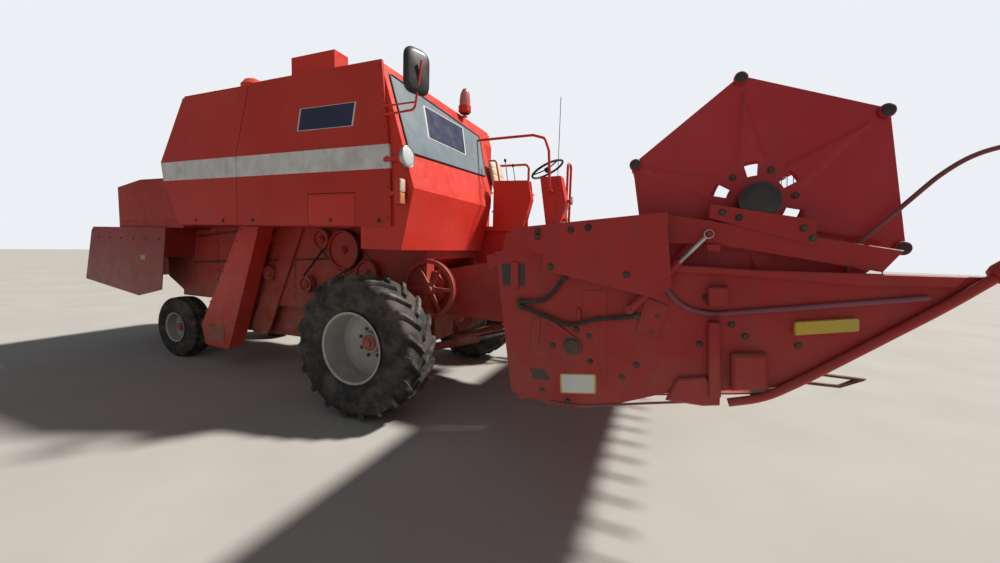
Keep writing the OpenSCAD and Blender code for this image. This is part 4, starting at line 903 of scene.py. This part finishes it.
# Hydraulic hoses on the right end: rubber over wire braid, with crimped steel ends.
runs = (bent(-HOSE_Y, 0.05, 8, (1902, -124), (1834, -191), (1771, -225), (1645, -204)),
        bent(-HOSE_Y, 0.045, 8, (1645, -230), (1782, -308), (1879, -367), (2005, -352), (2200, -366)))
hoses = piece("header_hose_pair", tabled(joined(*[carried(run, 0.010, 16) for run in runs])), rubber,
              "header", 60)
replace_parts(hoses, "header_hoses")
ends = on_table(upright(-SHEET_Y, mm((1902, -124), (1645, -204), (1645, -230), (2200, -366))))
swivel = turned(mm((17, 0), (17, 10), (13, 12), (13, 34), (10, 36), (0, 36)), count=18)
piece("hose_ends", repeated(swivel, ends, facing([RIGHT] * 4)), dark_steel, "header", 30)

# Crop dividers: a bent tube along the sheet's lower edge, a long drawn point, and a rod arched back inside
# the arm.
DIVIDER_Y = 2.4388
low = carried(bent(DIVIDER_Y, 0.07, 8, (2504, -795), (2640, -786), (2799, -718), (3258, -494), (3460, -381)),
              0.018, 20)
tip = upright(DIVIDER_Y, mm((3402, -411), (4130, -36)))
reach = np.linalg.norm(tip[1] - tip[0])
spear = turned([(0, -0.004), (0.030, 0), (0.038, 0.02), (0.036, reach * 0.3), (0.027, reach * 0.65),
                (0.014, reach * 0.93), (0.008, reach * 0.99), (0, reach)], tip[0], tip[1] - tip[0], 32)
arch = mm((3030, 2351, -400), (3030, 2351, -256), (3370, 2351, -8), (3480, 2351, 38), (3620, 2372, 30),
          (4100, 2438, -49))
rod = carried(eased(arch, 0.06, 8, False), 0.009, 14)
foot = prism(mm((3012, -410), (3048, -410), (3048, -368), (3012, -368)), 2.4025, 2.338, 0.003)
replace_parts(both("divider", joined(low, spear), header_red, 50), "divider_noses")
both("divider_arch", rod, worn_plum, 50)
both("divider_foot", foot, header_red, 30)

# End sheets themselves: folded plate cut to the crop's outline, with a window over the auger's drive and an
# ear that holds the reel's arm on a pin.
AUGER, ARM_PIN = np.array([1.870, 0, -0.470]), (1.700, 0.122)
outline = mm((1560, 80), (1491, -673), (1699, -757), (1848, -790), (2039, -776), (2258, -742), (2600, -752),
             (2720, -750), (2799, -718), (3001, -632), (3258, -494), (3386, -424), (3388, -408), (3050, -329),
             (2713, -249), (2403, -164), (1820, -10), (1700, 40))
ear = mm((1590, 50), (1640, 160), (1700, 177), (1760, 160), (1820, -20))
end_sheet = sheets(prism(outline, 2.4045, 2.420, 0.002), prism(ear, 2.4047, 2.4198, 0.002),
                   turned(mm((0, 0), (20, 0), (20, 57), (0, 57)), (ARM_PIN[0], 2.362, ARM_PIN[1]), LEFT, 28),
                   turned(mm((0, 0), (32, 0), (32, 5.5), (9, 6), (9, 49), (0, 50)), (2.180, SHEET_Y, -0.330),
                          LEFT, 28))
window = prism(mm((1582, 12), (1711, -14), (1687, -129), (1564, -106)), 2.4195, 2.4206, 0.001)
shaft = turned(mm((0, 0), (46, 0), (46, 10), (36, 12), (34, 22), (0, 23)), AUGER + (0, 2.4195, 0), LEFT, 36)
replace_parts(both("end_sheet", end_sheet, header_red, 40), "header_ends")
both("end_window", window, black_paint, 30)
both("auger_bearing", shaft, dark_steel, 30)


# Crop auger: a rolled tube with a thin steel flight from each end, worn bright, that brings the crop to the
# middle, and round fingers between them.
def flight(y0, y1, hand):
    """A 5 mm ribbon of radius r and turn a: (r cos a, y, r sin a), a = 2 pi (y - y0) / pitch, y0 to y1."""
    y = np.linspace(y0, y1, 260)[:, None]
    a = 2 * np.pi * (y - y0) / 0.480
    r, t = mm((144, 0), (246, 0), (250, 1.5), (250, 3.5), (246, 5), (144, 5)).T
    points = xyz(AUGER[0] + r * np.cos(a), (y + t) * hand, AUGER[2] + r * np.sin(a))
    first, last = points[:1].mean(1, keepdims=True), points[-1:].mean(1, keepdims=True)
    return rings(np.concatenate([first + 0 * points[:1], points, last + 0 * points[-1:]]))


tube = turned(mm((0, -2410), (30, -2410), (30, -2330), (147, -2330), (150, -2327), (150, 2327), (147, 2330),
                 (30, 2330), (30, 2410), (0, 2410)), AUGER, LEFT, 64)
finger = turned(mm((0, 140), (8, 141), (7, 235), (5, 245), (0, 246)), count=12)
k = np.repeat(np.arange(-3, 4), 2)
angle = np.radians(k * 50 + np.tile([0, 180], 7))
fingers = repeated(finger, AUGER + xyz(0, 0.140 * k, 0), facing(xyz(np.cos(angle), 0, np.sin(angle))))
auger_steel = plain_finish("auger_steel", (0.34, 0.31, 0.28), (0.20, 0.10, 0.06), 5.0, 0.42, 0.8, 0.15)
screw = piece("crop_screw", tabled(joined(tube, flight(0.520, 2.315, 1), flight(0.520, 2.315, -1), fingers)),
              auger_steel, "auger", 35)
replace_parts(screw, "crop_auger")

# Knife: forged pointed guards on a bar, with a riveted row of sharp triangular sections that slide between
# them. A guard's rings shrink in width and height towards its point, as the share s of the way grows.
s = np.array([0, 0.1, 0.5, 0.8, 1.0])[:, None]
a = np.linspace(0, 2 * np.pi, 10, endpoint=False)[None, :]
guard = xyz(0.058 + 0.077 * s, 0.011 * (1 - 0.85 * s**1.6) * np.cos(a),
            -0.008 + 0.001 * s + 0.012 * (1 - 0.8 * s**1.5) * np.sin(a))
guard = rings(np.concatenate([guard, guard[-1:].mean(1, keepdims=True) + 0 * guard[-1:]]))
blade = raised(mm((60, -36, 0), (124, -7, 0), (124, 7, 0), (60, 36, 0)), UP, 0.003, 0.004, 0.0)
for name, shape, count, up, finish, smooth, slot in (
        ("knife_guards", guard, 31, -0.770, dark_steel, 40, "dark_steel"),
        ("knife_sections", blade, 30, -0.7625, bright_steel, 30, "bright_steel")):
    places = xyz(2.600, np.arange(-count, count + 1) * 0.0762, up)
    piece(name, tabled(repeated(shape, places)), finish, "header", smooth)
lifter = np.array([2.600, -0.770]) + mm(
    (10, -30.3), (140, -30), (220, -25), (300, -44), (355, -56), (440, -33), (452, -27), (90, 66), (86, 58),
    (411, -27), (355, -46), (300, -34), (220, -15), (140, -20.3), (10, -20.3))
places = np.arange(0.15, 2.3, 0.3)
lifters = [prism(lifter, y - 0.011, y + 0.011, 0.0015) for y in np.concatenate([places, -places])]
rust = plain_finish("rusty_iron", (0.11, 0.045, 0.025), (0.20, 0.10, 0.06), 20.0, 0.75, 0.3, 0.3, 0.4)
piece("crop_lifter_rods", tabled(sheets(*lifters)), rust, "header", 30)

# Reel: the part that takes the most skill. Six tine bars between pressed six-sided end pans with spears and
# holes, on a big tube. Every bar carries sprung steel tines that hang down, each coiled round the bar.
HALF, BAR, RING = 2.310, 0.545, 0.560
REEL, LEAN = np.array([2.777, 0, 0.037]), math.radians(26)


def end_pan(out):
    """Rings of a six-sided pan: radius runs from hub to edge, R(q) = ring * cos 30 / cos(q), q the turn from
    a side's middle. It is raised 9 mm in a spear under each bar and 12 mm at the hub, and its edge is folded
    in by 26 mm. Cells between 118 and 168 mm and 9 degrees of a bar are left open."""
    turn = np.radians(np.arange(0, 360, 1.5))[:, None]
    off = (turn + math.pi / 6) % (math.pi / 3) - math.pi / 6
    edge = RING * math.cos(math.pi / 6) / np.cos(math.pi / 6 - np.abs(off))
    share = [0.030, 0.080, 0.084, 0.118, 0.130, 0.155, 0.168, 0.190]
    share = np.concatenate([share, np.linspace(0.215, RING, 22)])
    radius = np.where(share < 0.2, share, 0.190 + (share - 0.190) / (RING - 0.190) * (edge - 0.190))
    x, y = radius * np.cos(off), np.abs(radius * np.sin(off))
    wide = 0.056 * np.clip((0.505 - x) / (0.505 - 0.186), 0, 1)
    rise = 0.009 * np.clip((wide - y) / 0.006, 0, 1) * (radius > 0.185) + np.where(share < 0.082, 0.012, 0.0)
    radius = np.concatenate([radius, radius[:, -1:] + 0.001, radius[:, -1:] - 0.001], 1)
    rise = np.concatenate([rise, rise[:, -1:] - 0.004, rise[:, -1:] - 0.026], 1)
    points = xyz(radius * np.cos(turn + LEAN), out * (HALF - 0.003 + rise), radius * np.sin(turn + LEAN))
    faces = grid_faces(*points.shape[:2], True, False).reshape(len(turn), -1, 4)
    column = np.arange(points.shape[1] - 1)
    shut = (np.abs(np.degrees(off + math.radians(0.75))) < 9)[:, :1] & ((column > 2) & (column < 6))[None]
    return points.reshape(-1, 3) + REEL, faces[~shut]


angle = LEAN + np.radians(np.arange(0, 360, 60))
round_bars = REEL + xyz(BAR * np.cos(angle), 0, BAR * np.sin(angle))
bar = turned([(0, -HALF - 0.012), (0.018, -HALF - 0.012), (0.021, -HALF - 0.008), (0.021, HALF + 0.008),
              (0.018, HALF + 0.012), (0, HALF + 0.012)], axis=LEFT, count=24)
collar = turned(mm((20, -2), (28, -2), (28, 9), (26, 12), (20, 12)), axis=LEFT, count=24)
pads = repeated(collar, round_bars + (0, HALF + 0.001, 0))
pads = [pads, (pads[0] * (1, -1, 1), pads[1])]
shaft = turned([(0, -2.396), (0.022, -2.396), (0.022, -HALF + 0.008), (0.057, -HALF + 0.008),
                (0.057, HALF - 0.008), (0.022, HALF - 0.008), (0.022, 2.396), (0, 2.396)], REEL, LEFT, 40)
reel = piece("reel_bars_and_tube", tabled(joined(repeated(bar, round_bars), *pads, shaft)), reel_red,
             "reel_rotor", 35)
arm = prism([(0.050, -0.022), (BAR - 0.018, -0.016), (BAR - 0.018, 0.016), (0.050, 0.022)], -0.004, 0.004)
turns = np.stack([xyz(np.cos(angle), 0, np.sin(angle)), xyz(0 * angle, 1, 0),
                  xyz(-np.sin(angle), 0, np.cos(angle))], -1)
stays = [(arm[0] @ turns[n].T + REEL + (0, y, 0), arm[1]) for n in range(6) for y in (-0.77, 0.77)]
piece("reel_stays", tabled(sheets(*stays)), reel_red, "reel_rotor", 30)
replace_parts(reel, "reel")
cap = turned(mm((21.5, 1), (22.5, 14), (17, 17), (0, 17)), axis=LEFT, count=20)
both("bar_caps", repeated(cap, round_bars + (0, HALF + 0.002, 0)), black_paint, 40, body="reel_rotor")
for hand, out in RIGHT_LEFT:
    pan = piece(f"reel_end_{hand}", tabled(end_pan(out)), reel_red, "reel_rotor", 35, True)
    thick = pan.modifiers.new("sheet", "SOLIDIFY")
    thick.thickness, thick.offset = 0.005, -1.0
    places = REEL + xyz(0.147 * np.cos(angle + 0.54), out * HALF, 0.147 * np.sin(angle + 0.54))
    bolts(f"reel_bolts_{hand}", 0.010, on_table(places), out, "reel_rotor")

# Reel tines: 5 mm spring wire, two and a half coils round the bar, then down with a slight forward bow.
COIL = 0.0245
t, s = np.linspace(0, 1, 31), np.linspace(0.06, 1, 9)
coil = xyz(COIL * np.sin(t * 5 * np.pi), -0.014 + 0.022 * t, COIL * np.cos(t * 5 * np.pi))
wire = carried(np.concatenate([coil, xyz(0.012 * s**2, 0.008, -COIL - 0.1255 * s)]), 0.0026, 6)
turn = np.array([[math.cos(TILT), 0, math.sin(TILT)], [0, 1, 0], [-math.sin(TILT), 0, math.cos(TILT)]])
places = np.arange(0.075, 2.25, 0.15)
places = xyz(0, np.concatenate([-places[::-1], places]), 0)
tine_steel = plain_finish("tine_steel", (0.10, 0.085, 0.075), (0.19, 0.13, 0.09), 30.0, 0.45, 0.7, 0.1)
tines = repeated((wire[0] @ turn.T, wire[1]), round_bars[:, None] + places[None])
piece("reel_tines", tabled(tines), tine_steel, "reel_rotor", 60)

# Reel arms: box beams with a hub plate on each face, the cylinder's pin, and a black bearing drum round the
# reel's axle that shows above the plates.
beam = mm((1660, 160), (1660, 84), (1700, 75), (2554, -97), (3122, -339), (3197, -270), (2411, 70),
          (1740, 165))
pin = turned(mm((0, 0), (9, 0), (9, 70), (7.5, 71.5), (0, 71.5)), (2.560, 2.398, -0.060), LEFT, 24)
inner = mm((2549, -110), (2590, 66), (2951, -96), (2937, -240))
outer = mm((2592, 69), (2951, -92), (2927, -193), (2643, -29), (2578, 10))
arms = sheets(prism(beam, 2.366, 2.402, 0.003), prism(inner, 2.3665, 2.352, 0.002),
              prism(outer, 2.4015, 2.410, 0.002), pin)
cover = mm((0, 0), (78, 0), (78, 46), (70, 51), (52, 52), (48, 55), (0, 55.5))
cover = turned(cover, REEL + (0, 2.3525, 0), LEFT, 40)
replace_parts(both("arm", arms, header_red, 35, "reel_carrier"), "reel_arms")
both("hub_cover", cover, black_paint, 35, "reel_carrier")
end_bolts("arm_bolts", 0.011, 2.410, (2687, -16), (2902, -114), (2630, 20), (2925, -160), body="reel_carrier")
end_bolts("arm_pin_nut", 0.017, 2.4202, (1700, 122))


# Lamp bowls and brackets, and the mirror's rounded housing: pressed steel and moulded plastic.
def lamp_bowl(middle, r, depth):
    """A bowl's section from its back to the rim, turned about the way it looks."""
    return turned([(0, -depth), (r * 0.45, -depth), (r * 0.70, -depth * 0.72), (r * 0.86, -depth * 0.35),
                   (r, -depth * 0.3), (r, 0), (r * 0.9, 0.002), (r * 0.86, -0.006), (0, -0.004)],
                  middle, AHEAD, 40)


brackets = [square_bar(*mm(a, b), ease) for a, b, ease in (
    ((860, -1270, 2495), (1100, -1250.3, 2535), 0.005), ((1035, -1335, 2090), (1093.5, -1250.5, 2330), 0.016),
    ((940, -1270, 2180), (1046, -1250.3, 2220), 0.005), ((2090, 966, 2345), (2140, 996, 2384), 0.005),
    ((2050, 966, 2095), (2080, 996, 2134), 0.005), ((770, 340, 3400.3), (876, 420, 3408), 0.004))]
stub = turned(mm((0, 3407), (14, 3407), (14, 3441), (0, 3441)), (0.846, 0.380, 0), UP, 20)
bowls = [lamp_bowl(middle, r, depth) for (_, _, middle, r), depth in zip(LAMPS, (0.090, 0.050, 0.050))]
bowls = piece("lamp_bowls", joined(*bowls, *brackets, stub), body_red, "chassis", 35)
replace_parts(bowls, "lamps")
plate = eased(mm((-130, -192.5, 0), (130, -192.5, 0), (130, 192.5, 0), (-130, 192.5, 0)), 0.095, 9)
rows = ((0, 0), (0, 0.75), (0.010, 0.93), (0.026, 1.0), (0.046, 1.0), (0.052, 0.985), (0.052, 0.93),
        (0.049, 0.92), (0.049, 0))
points, faces = rings(np.stack([plate * share + (0, 0, depth) for depth, share in rows]))
points = MIRROR + points[:, :1] * across + points[:, 1:2] * UP + (points[:, 2:] - 0.037) * back
mirror = piece("mirror_housing", (points, faces), black_paint, "chassis", 40)
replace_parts(mirror, "side_mirror")

# The studio floor: a pale matt sheet that keeps the machine's shadow.
floor_grey = plain_finish("floor_grey", (0.35, 0.33, 0.30), (0.38, 0.36, 0.33), 0.7, 0.9, 0.0, 0.0, 0.35)
u, v = np.meshgrid(np.linspace(-60, 60, 25), np.linspace(-60, 60, 25), indexing="ij")
floor = piece("floor", (xyz(u, v, -0.001), grid_faces(25, 25)), floor_grey)
